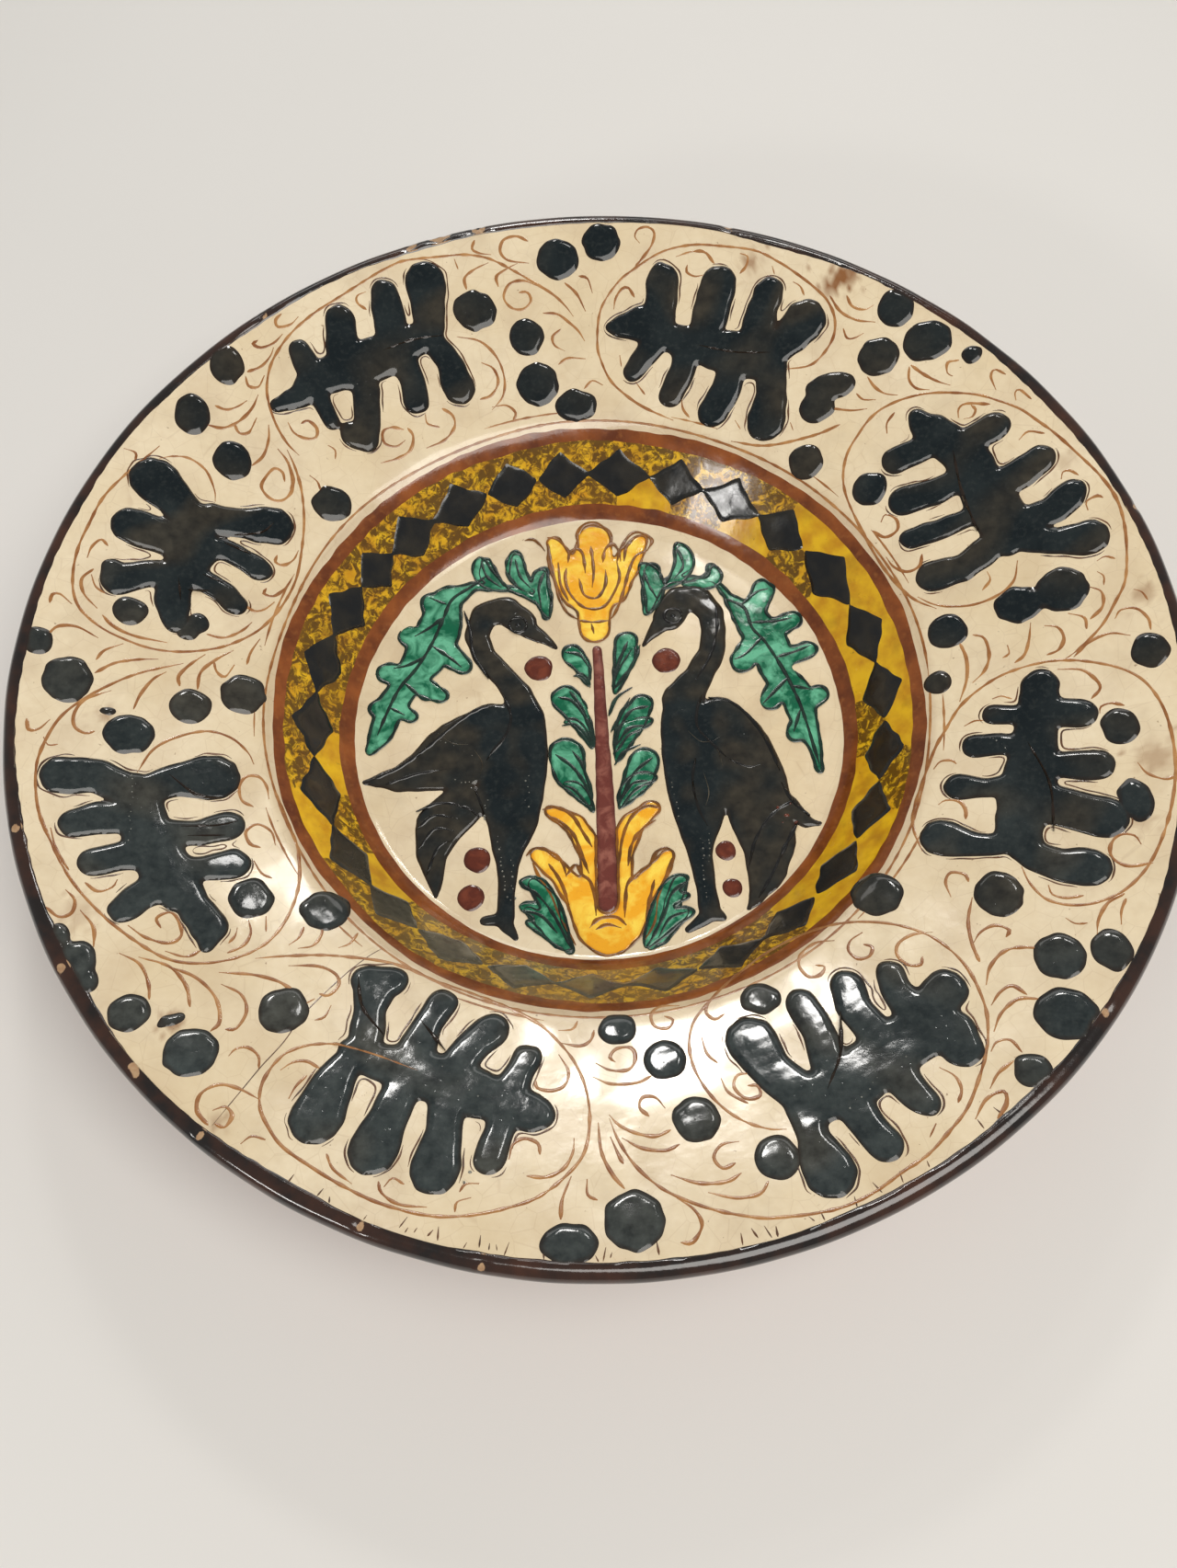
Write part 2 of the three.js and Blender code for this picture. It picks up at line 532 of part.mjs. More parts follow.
function flowerMeshes() {
  const clearance = trailed(widened(FLOWER_STEM, 2 * GAP));
  const baseTulip = trailed(TULIP_BASE).subtract(clearance).intersect(floorGlaze);
  return [
    meshOf("flower_stem", trailed(FLOWER_STEM).intersect(floorGlaze), "stem"),
    meshOf("tulip_top", trailed(TULIP_TOP).intersect(floorGlaze), "orange"),
    meshOf("tulip_base", baseTulip, "orange"),
    ...STEM_LEAVES.map((strokes, i) =>
      meshOf(`stem_leaf_${i + 1}`, trailed(strokes).intersect(floorGlaze), "green"),
    ),
    meshOf("base_leaf_left", trailed(BASE_LEAF_LEFT).intersect(floorGlaze), "green"),
    meshOf("base_leaf_right", trailed(BASE_LEAF_RIGHT).intersect(floorGlaze), "green"),
    meshOf("spray_left", trailed(SPRAY_LEFT).intersect(floorGlaze), "green"),
    meshOf("spray_right", trailed(SPRAY_RIGHT).intersect(floorGlaze), "green"),
  ];
}

function birdMeshes() {
  return [
    meshOf("bird_left", trailed(BIRD_LEFT).intersect(floorRaised), "dark"),
    meshOf("bird_right", trailed(BIRD_RIGHT).intersect(floorRaised), "dark"),
    ...RED_DOTS.map((dot, i) => meshOf(`red_dot_${i + 1}`, spots([dot]).intersect(floorGlaze), "red")),
  ];
}

const dish = new THREE.Group();
dish.add(...groundMeshes(), ...rimMeshes(), ...flowerMeshes(), ...birdMeshes());

export default dish;
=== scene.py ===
"""A deep earthenware dish, hand painted in slip and thick trailed glaze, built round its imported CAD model.

Lengths are millimetres in the part's own frame until a mesh is made. The dish stands on its foot at z = 0,
and the tulips in its well stand along +Y. A glaze piece that replaces a CAD node takes its outline from it.
"""

import math

import bpy
import numpy as np
from mathutils import Matrix, Vector


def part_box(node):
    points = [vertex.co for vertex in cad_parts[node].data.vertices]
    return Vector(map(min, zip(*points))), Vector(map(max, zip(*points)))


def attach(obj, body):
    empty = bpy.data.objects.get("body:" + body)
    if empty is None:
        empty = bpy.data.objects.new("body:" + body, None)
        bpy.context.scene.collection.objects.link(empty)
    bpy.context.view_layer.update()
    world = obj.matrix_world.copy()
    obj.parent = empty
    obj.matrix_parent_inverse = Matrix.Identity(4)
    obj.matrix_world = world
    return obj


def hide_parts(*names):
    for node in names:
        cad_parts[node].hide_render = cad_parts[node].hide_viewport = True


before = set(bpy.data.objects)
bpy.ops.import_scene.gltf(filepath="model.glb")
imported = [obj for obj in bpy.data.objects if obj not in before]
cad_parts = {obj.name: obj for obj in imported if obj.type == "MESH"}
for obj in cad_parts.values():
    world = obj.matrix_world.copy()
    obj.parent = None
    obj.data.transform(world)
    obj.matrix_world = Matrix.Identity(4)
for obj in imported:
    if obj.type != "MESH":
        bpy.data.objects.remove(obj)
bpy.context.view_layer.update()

MM = 0.001
TAU = 2 * math.pi


def node_box(node):
    """The two corners of a CAD node's box, in mm."""
    low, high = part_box(node)
    return np.array(low) / MM, np.array(high) / MM


# ---------------------------------------------------------------- the painted face, read from the frame
FLOOR_R = node_box("floor_slip")[1][0]
FLOOR_Z = node_box("floor_slip")[1][2]
RING_R = node_box("floor_ring")[1][0]
WALL_R = node_box("wall_slip")[1][0]
WELL_R = node_box("well_edge_ring")[1][0]
WELL_Z = node_box("well_edge_ring")[1][2]
CREAM_R = node_box("rim_slip")[1][0]
CREAM_Z = node_box("rim_slip")[1][2]

SLIP = 0.4  # thickness of the slip coats
SUNK = 0.2  # how far the underside of a pool of glaze lies below the face
LINE_SUNK = 0.15  # and that of a painted line
CORNER = 5.5  # how far the two corners of the well are rounded, along the radius
TURNS = 720  # sides of everything turned on the wheel
LIP = 3.25  # radius of the rounded lip
THROWING_PITCH = 3.4  # from one faint throwing line of the face to the next
RIM_THICK = 5.6  # clay under the rim
WALL_THICK = 7.0  # clay under the wall and the floor
SLAB_Z = 4.0  # underside of the floor inside the foot ring
FOOT_INNER_R, FOOT_OUTER_R = 57.0, 67.0


def smoothed(values, width):
    """A row of evenly spaced values, averaged twice over that many neighbours."""
    kernel = np.ones(width) / width
    for _ in range(2):
        values = np.convolve(np.pad(values, width // 2, mode="edge"), kernel, mode="valid")
    return values


FINE = 0.1  # spacing of the face profile
BEYOND = 30  # how far the profile runs on past the cream, so that the coats can end anywhere
RIM_SLOPE = (CREAM_Z - WELL_Z) / (CREAM_R - WELL_R)
FACE_R = np.arange(-BEYOND, CREAM_R + BEYOND, FINE)
FACE_Z = smoothed(
    np.interp(
        FACE_R,
        [0, FLOOR_R, WELL_R, CREAM_R, CREAM_R + BEYOND],
        [FLOOR_Z, FLOOR_Z, WELL_Z, CREAM_Z, CREAM_Z + BEYOND * RIM_SLOPE],
    ),
    int(CORNER / FINE / 2) * 2 + 1,
)
FACE_SLOPE = np.gradient(FACE_Z, FINE)


def waves(x, y, wavelength, seed, count=9):
    """A smooth random field, mostly between -1 and 1, with this typical wavelength."""
    draw = np.random.default_rng(seed)
    total = np.zeros(np.broadcast(x, y).shape)
    for _ in range(count):
        angle, phase, stretch = draw.uniform(0, TAU), draw.uniform(0, TAU), draw.uniform(0.7, 1.4)
        k = TAU * stretch / wavelength
        total += np.sin(k * (x * math.cos(angle) + y * math.sin(angle)) + phase)
    return total / math.sqrt(count)


def surface(x, y, lift=0.0):
    """Points on the painted face, raised square to it by lift."""
    radius = np.hypot(x, y)
    slope = np.interp(radius, FACE_R, FACE_SLOPE)
    height = np.interp(radius, FACE_R, FACE_Z)
    height = height + 0.10 * waves(x, y, 46, 11) + 0.03 * waves(x, y, 19, 12)
    height = height + 0.005 * np.sin(radius * TAU / THROWING_PITCH + np.arctan2(y, x))
    length = np.sqrt(1 + slope * slope)
    side = lift * slope / length / np.maximum(radius, 1e-6)
    return np.stack([x - side * x, y - side * y, height + lift / length], -1)


# ---------------------------------------------------------------- meshes
def piece_of(name, vertices, faces, material, values=None, sharp=50, replaces=()):
    """One object of the dish, from vertices in mm and a list of arrays of faces."""
    mesh = bpy.data.meshes.new(name)
    corners = np.concatenate([block.ravel() for block in faces]).astype(np.int32)
    sizes = np.concatenate([np.full(len(block), block.shape[1]) for block in faces]).astype(np.int32)
    mesh.vertices.add(len(vertices))
    mesh.vertices.foreach_set("co", (np.asarray(vertices) * MM).astype(np.float32).ravel())
    mesh.loops.add(len(corners))
    mesh.loops.foreach_set("vertex_index", corners)
    mesh.polygons.add(len(sizes))
    mesh.polygons.foreach_set("loop_start", (np.cumsum(sizes) - sizes).astype(np.int32))
    mesh.polygons.foreach_set("use_smooth", np.ones(len(sizes), bool))
    mesh.update(calc_edges=True)
    for key, numbers in (values or {}).items():
        layer = mesh.attributes.new(key, "FLOAT", "POINT")
        layer.data.foreach_set("value", np.asarray(numbers, np.float32).ravel())
    mesh.set_sharp_from_angle(angle=math.radians(sharp))
    mesh.materials.append(material)
    piece = bpy.data.objects.new(name, mesh)
    bpy.context.scene.collection.objects.link(piece)
    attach(piece, "root")
    if replaces:
        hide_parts(*replaces)
    return piece


TURN = np.arange(TURNS) * TAU / TURNS


def turned(name, rings, material, values=None, replaces=(), sharp=50):
    """A skin turned about Z: rings of points, (rows, TURNS, 3), closed from the last row to the first."""
    rows = len(rings)
    row, column = np.arange(rows)[:, None], np.arange(TURNS)[None, :]
    beside, above = (column + 1) % TURNS, (row + 1) % rows
    corners = [row * TURNS + column, row * TURNS + beside, above * TURNS + beside, above * TURNS + column]
    faces = [np.stack(corners, -1).reshape(-1, 4)]
    return piece_of(name, rings.reshape(-1, 3), faces, material, values, sharp, replaces)


def at_radius(radius, height):
    """A full turn of points at one radius and height, either of which may vary round the turn."""
    x, y, z = radius * np.cos(TURN), radius * np.sin(TURN), np.broadcast_to(height, TURNS)
    return np.stack([x, y, z], -1)


def brush_edge(radius, seed, amount=0.3):
    """The edge of a band painted on the turning wheel: a circle that wanders a little."""
    x, y = radius * np.cos(TURN), radius * np.sin(TURN)
    return radius + amount * waves(x, y, 60, seed) + 0.35 * amount * waves(x, y, 9, seed + 1)


def ground(name, inner, outer, step, material, replaces, paint=None):
    """A coat of slip between two edges, which are radii for every side of the turn."""
    rows = max(3, int(round(np.mean(outer - inner) / step)) + 1)
    radius = inner + (outer - inner) * np.linspace(0, 1, rows)[:, None]
    x, y = radius * np.cos(TURN), radius * np.sin(TURN)
    below = np.unique(np.append(np.arange(0, rows, 4), rows - 1))
    rings = np.concatenate([surface(x, y), surface(x, y, -SLIP)[below][::-1]])
    values = {}
    for key, recipe in (paint or {}).items():
        shade = recipe(x, y)
        values[key] = np.concatenate([shade, shade[below][::-1]])
    return turned(name, rings, material, values, replaces)


# ---------------------------------------------------------------- outlines of the CAD glaze
def outline(node):
    """The straight pieces round the top of a CAD node, as pairs of points in plan."""
    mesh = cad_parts[node].data
    points = np.empty(len(mesh.vertices) * 3)
    mesh.vertices.foreach_get("co", points)
    points = np.round(points.reshape(-1, 3) / MM, 3)
    mesh.calc_loop_triangles()
    triangles = np.empty(len(mesh.loop_triangles) * 3, np.int32)
    mesh.loop_triangles.foreach_get("vertices", triangles)
    points, where = np.unique(points, axis=0, return_inverse=True)
    triangles = where.reshape(-1)[triangles].reshape(-1, 3)
    a, b, c = (points[triangles[:, k]] for k in range(3))
    normal = np.cross(b - a, c - a)
    size = np.linalg.norm(normal, axis=1)
    top = triangles[(normal[:, 2] > 0.3 * size) & (size > 0)]
    edges = np.concatenate([top[:, [0, 1]], top[:, [1, 2]], top[:, [2, 0]]])
    forward = edges[:, 0] * len(points) + edges[:, 1]
    backward = edges[:, 1] * len(points) + edges[:, 0]
    return points[edges[~np.isin(forward, backward)]][:, :, :2]


def depth_inside(x, y, pieces):
    """Distance from an outline, positive inside it."""
    shape = x.shape
    x, y = x.ravel(), y.ravel()
    nearest = np.full(x.shape, np.inf)
    inside = np.zeros(x.shape, bool)
    for (ax, ay), (bx, by) in pieces:
        dx, dy = bx - ax, by - ay
        along = np.clip(((x - ax) * dx + (y - ay) * dy) / max(dx * dx + dy * dy, 1e-12), 0, 1)
        nearest = np.minimum(nearest, (x - ax - along * dx) ** 2 + (y - ay - along * dy) ** 2)
        if ay != by:
            crosses = (ay > y) != (by > y)
            inside ^= crosses & (x < ax + (y - ay) * dx / dy)
    return (np.sqrt(nearest) * np.where(inside, 1, -1)).reshape(shape)


def shape_of(*nodes):
    """A depth field for some CAD nodes, with the box that holds them."""
    pieces = np.concatenate([outline(node) for node in nodes])
    ends = pieces.reshape(-1, 2)
    return (lambda x, y: depth_inside(x, y, pieces)), ends.min(0), ends.max(0)


def shape_of_dots(ellipses):
    """A depth field for ellipses [x, y, radius along X, radius along Y], with the box that holds them."""
    dots = np.array(ellipses, float)

    def field(x, y):
        depth = np.full(x.shape, -np.inf)
        for cx, cy, rx, ry in dots:
            depth = np.maximum(depth, (1 - np.hypot((x - cx) / rx, (y - cy) / ry)) * min(rx, ry))
        return np.minimum(depth, CREAM_R - np.hypot(x, y))

    return field, (dots[:, :2] - dots[:, 2:]).min(0), (dots[:, :2] + dots[:, 2:]).max(0)


def shape_of_blades(blades):
    """A depth field for brush marks [points from the tip, width] that swell and taper, with their box."""
    loops = []
    for points, width in blades:
        line = curve_through(points, 1.2)
        ahead = np.gradient(line, axis=0)
        ahead /= np.linalg.norm(ahead, axis=1)[:, None]
        share = np.linspace(0, 1, len(line))
        half = (0.5 * width * np.sin(math.pi * share**0.75) ** 0.7)[:, None]
        side = np.stack([-ahead[:, 1], ahead[:, 0]], 1)
        loop = np.concatenate([line + side * half, (line - side * half)[::-1]])
        loops.append(np.stack([loop, np.roll(loop, -1, 0)], 1))
    ends = np.concatenate(loops).reshape(-1, 2)
    return (lambda x, y: np.max([depth_inside(x, y, loop) for loop in loops], 0)), ends.min(0), ends.max(0)


def blurred(values, times):
    """A grid of values, each averaged with its neighbours this many times."""
    for _ in range(times):
        for axis in (0, 1):
            near, far = np.roll(values, 1, axis), np.roll(values, -1, axis)
            values = values * 0.5 + (near + far) * 0.25
    return values


def patch(shape, step, level=0.0, soften=3, wobble=0.0, seed=0):
    """A fine grid over the part of a shape deeper than level: plan points, depths, quads and border edges."""
    field, low, high = shape
    margin = (4 + soften) * step + abs(level)
    xs = np.arange(low[0] - margin, high[0] + margin, step)
    ys = np.arange(low[1] - margin, high[1] + margin, step)
    x, y = np.meshgrid(xs, ys, indexing="ij")
    depth = blurred(field(x, y), soften) + wobble * waves(x, y, 7, seed) - level
    slope_x, slope_y = np.gradient(depth, step)
    middle = (depth[:-1, :-1] + depth[1:, :-1] + depth[1:, 1:] + depth[:-1, 1:]) / 4
    i, j = np.nonzero(middle > 0)
    columns = len(ys)
    near, far = i * columns + j, (i + 1) * columns + j
    used, quads = np.unique(np.stack([near, far, far + 1, near + 1], 1), return_inverse=True)
    quads = quads.reshape(-1, 4)
    edges = np.concatenate([quads[:, [k, (k + 1) % 4]] for k in range(4)])
    forward, backward = edges @ [len(used), 1], edges @ [1, len(used)]
    border = edges[~np.isin(forward, backward)]
    plan = np.stack([x.ravel()[used], y.ravel()[used]], 1)
    depths = depth.ravel()[used]
    rim = np.unique(border)
    slope = np.stack([slope_x.ravel()[used], slope_y.ravel()[used]], 1)[rim]
    push = depths[rim, None] * slope / np.maximum((slope**2).sum(1), 0.2)[:, None]
    plan[rim] -= np.clip(push, -step, step)
    depths[rim] = 0
    return plan, np.maximum(depths, 0), quads, border


def relief(name, shape, material, slot, thick, roll, step=0.6, replaces=(), extra=None, paint=None, **cut):
    """A pool of glaze: it rises from its edge in a soft roll to its thickness, and is closed underneath."""
    plan, depth, quads, border = patch(shape, step, **cut)
    x, y = plan.T
    share = np.clip(depth / roll, 0, 1)
    lift = thick * ((1 - (1 - share) ** 2) * 0.86 + 0.14 * np.clip(depth / (3 * roll), 0, 1))
    if extra is not None:
        lift = lift + extra(x, y, depth) * share
    top = surface(x, y, np.maximum(lift, 0) + 0.01)
    under = surface(x, y, -SUNK)
    count = len(plan)
    walls = np.stack([border[:, 1], border[:, 0], border[:, 0] + count, border[:, 1] + count], 1)
    faces = [quads, quads[:, ::-1] + count, walls]
    values = {"depth": np.concatenate([depth, depth * 0])}
    for key, recipe in (paint or {}).items():
        values[key] = np.tile(recipe(x, y), 2)
    return piece_of(name, np.concatenate([top, under]), faces, material, values, 60, replaces)


# ---------------------------------------------------------------- painted lines
def curve_through(points, step=0.8):
    """A smooth line through some plan points, sampled about every step."""
    points = np.array(points, float)
    if len(points) == 2:
        points = np.array([points[0], points.mean(0), points[1]])
    padded = np.concatenate([[2 * points[0] - points[1]], points, [2 * points[-1] - points[-2]]])
    line = []
    for p0, p1, p2, p3 in zip(padded, padded[1:], padded[2:], padded[3:]):
        t = np.linspace(0, 1, max(3, int(np.hypot(*(p2 - p1)) / step) + 1))[:-1, None]
        bend = (2 * p0 - 5 * p1 + 4 * p2 - p3) * t**2 + (3 * p1 - p0 - 3 * p2 + p3) * t**3
        line.append(0.5 * (2 * p1 + (p2 - p0) * t + bend))
    return np.concatenate([*line, points[-1:]])


def lines_piece(name, lines, material, lift=0.12, base=0.02):
    """Thin raised lines as one piece. Each is (plan points, width, taper at the start, taper at the end)."""
    vertices, faces, total = [], [], 0
    for points, width, start, end in lines:
        ahead = np.gradient(points, axis=0)
        ahead /= np.maximum(np.linalg.norm(ahead, axis=1), 1e-9)[:, None]
        side = np.stack([-ahead[:, 1], ahead[:, 0]], 1)
        far = np.concatenate([[0], np.cumsum(np.linalg.norm(np.diff(points, axis=0), axis=1))])
        ends = np.clip(far / max(start, 1e-3), 0.12, 1) * np.clip((far[-1] - far) / max(end, 1e-3), 0.12, 1)
        x, y = points.T
        half = 0.5 * width * ends**0.6 * (1 + 0.22 * waves(x, y, 5, 31))
        left, right = points + side * half[:, None], points - side * half[:, None]
        crest = base + (lift - base) * (0.5 + 0.5 * ends)
        rows = [surface(*left.T, base), surface(x, y, crest), surface(*right.T, base)]
        rows.append(surface(x, y, -LINE_SUNK))
        count = len(points)
        a = np.arange(count - 1)[:, None] * 4 + np.arange(4)[None, :]
        b = np.arange(count - 1)[:, None] * 4 + (np.arange(4)[None, :] + 1) % 4
        faces.append(total + np.stack([a, a + 4, b + 4, b], -1).reshape(-1, 4))
        last = 4 * (count - 1)
        faces.append(total + np.array([[0, 1, 2, 3], [last + 3, last + 2, last + 1, last]]))
        vertices.append(np.stack(rows, 1).reshape(-1, 3))
        total += 4 * count
    return piece_of(name, np.concatenate(vertices), faces, material, sharp=80)


def edge_lines(shape, level, step, width, breaks, gaps=0.0, **cut):
    """Lines that follow a shape's edge at a distance, broken where a random field falls under gaps."""
    plan, _, _, border = patch(shape, step, level, **cut)
    after = dict(border)
    lines = []
    while after:
        start, at = next(iter(after.items()))
        loop = [start]
        del after[start]
        while at != start and at in after:
            loop.append(at)
            at = after.pop(at)
        if len(loop) < 12:
            continue
        points = plan[loop + [start]]
        for _ in range(3):
            closed = np.concatenate([points[-2:-1], points, points[1:2]])
            points = closed[:-2] * 0.25 + closed[1:-1] * 0.5 + closed[2:] * 0.25
        keep = waves(*points.T, 16, breaks) > gaps
        runs = np.split(np.arange(len(points)), np.nonzero(np.diff(keep))[0] + 1)
        lines += [(points[run], width, 3, 3) for run in runs if keep[run[0]] and len(run) > 5]
    return lines


# ---------------------------------------------------------------- materials
class Recipe:
    """A material's node tree, with short ways to add the nodes that the glazes share."""

    def __init__(self, name, rough, coat=0.0):
        self.material = bpy.data.materials.new(name)
        self.material.use_nodes = True
        self.tree = self.material.node_tree
        self.shader = self.tree.nodes["Principled BSDF"]
        self.shader.inputs["Roughness"].default_value = rough
        self.shader.inputs["Coat Weight"].default_value = coat
        self.shader.inputs["Coat Roughness"].default_value = 0.06
        self.place = self.tree.nodes.new("ShaderNodeTexCoord").outputs["Object"]

    def feed(self, value, socket):
        """Set a socket to a number or a colour, or link a node's output to it."""
        if isinstance(value, (int, float, tuple)):
            socket.default_value = value
        else:
            self.tree.links.new(value, socket)

    def noise(self, size, detail=3.0, rough=0.5, warp=0.0):
        """Noise with features of about this many millimetres."""
        node = self.tree.nodes.new("ShaderNodeTexNoise")
        node.inputs["Scale"].default_value = 1 / (size * MM)
        node.inputs["Detail"].default_value = detail
        node.inputs["Roughness"].default_value = rough
        node.inputs["Distortion"].default_value = warp
        self.feed(self.place, node.inputs["Vector"])
        return node.outputs["Fac"]

    def cells(self, size, feature="DISTANCE_TO_EDGE"):
        """Cells about this many millimetres wide."""
        node = self.tree.nodes.new("ShaderNodeTexVoronoi")
        node.feature = feature
        node.inputs["Scale"].default_value = 1 / (size * MM)
        self.feed(self.place, node.inputs["Vector"])
        return node.outputs["Distance"]

    def painted(self, key):
        """A value that was stored on the piece's vertices."""
        node = self.tree.nodes.new("ShaderNodeAttribute")
        node.attribute_name = key
        return node.outputs["Fac"]

    def span(self, value, low, high, to_low=0.0, to_high=1.0):
        """The stretch of a value from low to high, spread over another stretch and held at its ends."""
        node = self.tree.nodes.new("ShaderNodeMapRange")
        for socket, number in zip(node.inputs[1:5], (low, high, to_low, to_high)):
            socket.default_value = number
        self.feed(value, node.inputs[0])
        return node.outputs[0]

    def math(self, operation, *values):
        node = self.tree.nodes.new("ShaderNodeMath")
        node.operation = operation
        for socket, value in zip(node.inputs, values):
            self.feed(value, socket)
        return node.outputs[0]

    def mix(self, share, below, above):
        """The first colour where share is 0, the second where it is 1."""
        node = self.tree.nodes.new("ShaderNodeMix")
        node.data_type = "RGBA"
        self.feed(share, node.inputs[0])
        self.feed(below, node.inputs[6])
        self.feed(above, node.inputs[7])
        return node.outputs[2]

    def colour(self, value):
        self.feed(value, self.shader.inputs["Base Color"])

    def roughness(self, value):
        self.feed(value, self.shader.inputs["Roughness"])

    def bump(self, value, depth, strength=1.0):
        """Relief this many millimetres deep, from black to white."""
        node = self.tree.nodes.new("ShaderNodeBump")
        node.inputs["Distance"].default_value = depth * MM
        node.inputs["Strength"].default_value = strength
        self.feed(value, node.inputs["Height"])
        self.feed(node.outputs["Normal"], self.shader.inputs["Normal"])


def srgb(red, green, blue):
    """A shader colour from 0 to 255 display values."""

    def linear(value):
        value /= 255
        return value / 12.92 if value <= 0.04045 else ((value + 0.055) / 1.055) ** 2.4

    return (linear(red), linear(green), linear(blue), 1.0)


def cream_slip():
    m = Recipe("cream_slip", 0.22, 0.35)
    even = m.mix(m.span(m.noise(38, 3), 0.35, 0.68), srgb(238, 222, 191), srgb(227, 208, 172))
    warm = m.mix(m.span(m.noise(17, 4, 0.65), 0.5, 0.78, 0.0, 0.55), even, srgb(204, 186, 156))
    fine = m.mix(m.span(m.noise(2.2, 4), 0.3, 0.75, 0.0, 0.22), warm, srgb(206, 180, 140))
    specks = m.span(m.noise(1.5, 2), 0.735, 0.78, 0.0, 0.6)
    specked = m.mix(specks, fine, srgb(120, 84, 52))
    crazing = m.span(m.cells(7), 0.0, 0.02, 0.16, 0.0)
    crazed = m.mix(crazing, specked, srgb(150, 112, 74))
    m.colour(m.mix(m.painted("stain"), crazed, srgb(140, 92, 52)))
    m.roughness(m.span(m.noise(9, 3), 0.3, 0.7, 0.12, 0.22))
    m.bump(m.noise(6, 3), 0.07)
    return m.material


def brown_slip():
    m = Recipe("brown_slip", 0.2, 0.25)
    deep = m.mix(m.span(m.noise(14, 4, 0.6), 0.35, 0.65), srgb(100, 48, 18), srgb(150, 82, 34))
    m.colour(m.mix(m.span(m.noise(2.4, 3), 0.55, 0.8, 0.0, 0.45), deep, srgb(168, 106, 52)))
    m.roughness(m.span(m.noise(5, 3), 0.3, 0.7, 0.12, 0.26))
    m.bump(m.noise(3, 3), 0.08)
    return m.material


def yellow_slip():
    m = Recipe("yellow_slip", 0.2, 0.25)
    bright = m.mix(m.span(m.noise(6, 3), 0.35, 0.7), srgb(240, 192, 30), srgb(208, 148, 22))
    sponge = m.math("ADD", m.noise(3.4, 5, 0.72, 0.8), m.span(m.painted("mottle"), 0, 1, -0.17, 0.055))
    mottled = m.mix(m.span(sponge, 0.47, 0.58, 0.0, 0.92), bright, srgb(84, 54, 12))
    streaked = m.mix(m.span(m.noise(9, 4), 0.52, 0.7, 0.0, 0.4), mottled, srgb(150, 104, 22))
    # Painted sheen: the front of the wall is greyed towards a pale olive.
    m.colour(m.mix(m.span(m.painted("front_sheen"), 0, 1, 0, 0.5), streaked, srgb(140, 124, 84)))
    m.roughness(m.span(m.noise(5, 3), 0.3, 0.7, 0.14, 0.28))
    m.bump(m.noise(2.5, 3), 0.07)
    return m.material


def dark_glaze():
    m = Recipe("dark_glaze", 0.2, 0.25)
    m.shader.inputs["Specular IOR Level"].default_value = 0.3
    pool = m.mix(m.span(m.noise(13, 4, 0.55), 0.42, 0.66), srgb(14, 24, 28), srgb(30, 38, 40))
    cloud = m.mix(m.span(m.noise(1.6, 4, 0.6), 0.5, 0.8, 0.0, 0.45), pool, srgb(62, 66, 64))
    thin = m.mix(m.span(m.noise(4, 3), 0.3, 0.7), srgb(38, 35, 30), srgb(64, 59, 49))
    shaded = m.mix(m.painted("brown"), cloud, thin)
    # Painted sheen: the dark glaze turns a pale grey in patches, most at the front and left of the rim.
    sheen_share = m.math("MULTIPLY", m.painted("painted_sheen"), m.span(m.noise(4, 5, 0.65), 0.3, 0.7, 0.08, 0.42))
    sheened = m.mix(sheen_share, shaded, srgb(96, 104, 102))
    edge = m.span(m.painted("depth"), 0.0, 1.1, 0.75, 0.0)
    m.colour(m.mix(edge, sheened, srgb(44, 30, 20)))
    m.roughness(m.span(m.noise(6, 3), 0.35, 0.75, 0.07, 0.14))
    pits = m.span(m.cells(2.8, "F1"), 0.0, 0.12, 0.0, 0.6)
    m.bump(m.math("ADD", m.noise(3.0, 3, 0.45), pits), 0.045)
    return m.material


def diamond_glaze():
    m = Recipe("diamond_glaze", 0.16, 0.3)
    black = m.mix(m.span(m.noise(9, 4), 0.4, 0.7), srgb(20, 22, 24), srgb(46, 42, 34))
    # Painted sheen: at the front of the wall the diamonds are greyed paler.
    m.colour(m.mix(m.painted("front_sheen"), black, m.mix(m.noise(2.0, 3), srgb(66, 62, 48), srgb(128, 122, 100))))
    m.roughness(m.span(m.noise(4, 3), 0.3, 0.7, 0.10, 0.28))
    m.bump(m.noise(3.5, 2), 0.07)
    return m.material


def wash(name, thin, full, pooled, rough=0.16, pale_size=5):
    """A translucent glaze: thin and pale where the brush slid, and dark where it gathered at the edge."""
    m = Recipe(name, rough, 0.2)
    m.shader.inputs["Specular IOR Level"].default_value = 0.4
    streaks = m.mix(m.span(m.noise(pale_size, 4, 0.6, 0.6), 0.42, 0.62), full, thin)
    speckled = m.mix(m.span(m.noise(1.3, 3), 0.6, 0.8, 0.0, 0.4), streaks, pooled)
    edge = m.span(m.painted("depth"), 0.0, 1.4, 0.65, 0.0)
    m.colour(m.mix(edge, speckled, pooled))
    m.roughness(m.span(m.noise(5, 3), 0.3, 0.7, rough - 0.06, rough + 0.06))
    m.bump(m.noise(2.6, 3), 0.14)
    return m.material


def line_paint(name, dark, light, rough=0.25):
    m = Recipe(name, rough, 0.3)
    m.colour(m.mix(m.span(m.noise(7, 4, 0.6), 0.35, 0.68), dark, light))
    m.roughness(m.span(m.noise(3, 2), 0.3, 0.7, rough - 0.06, rough + 0.08))
    return m.material


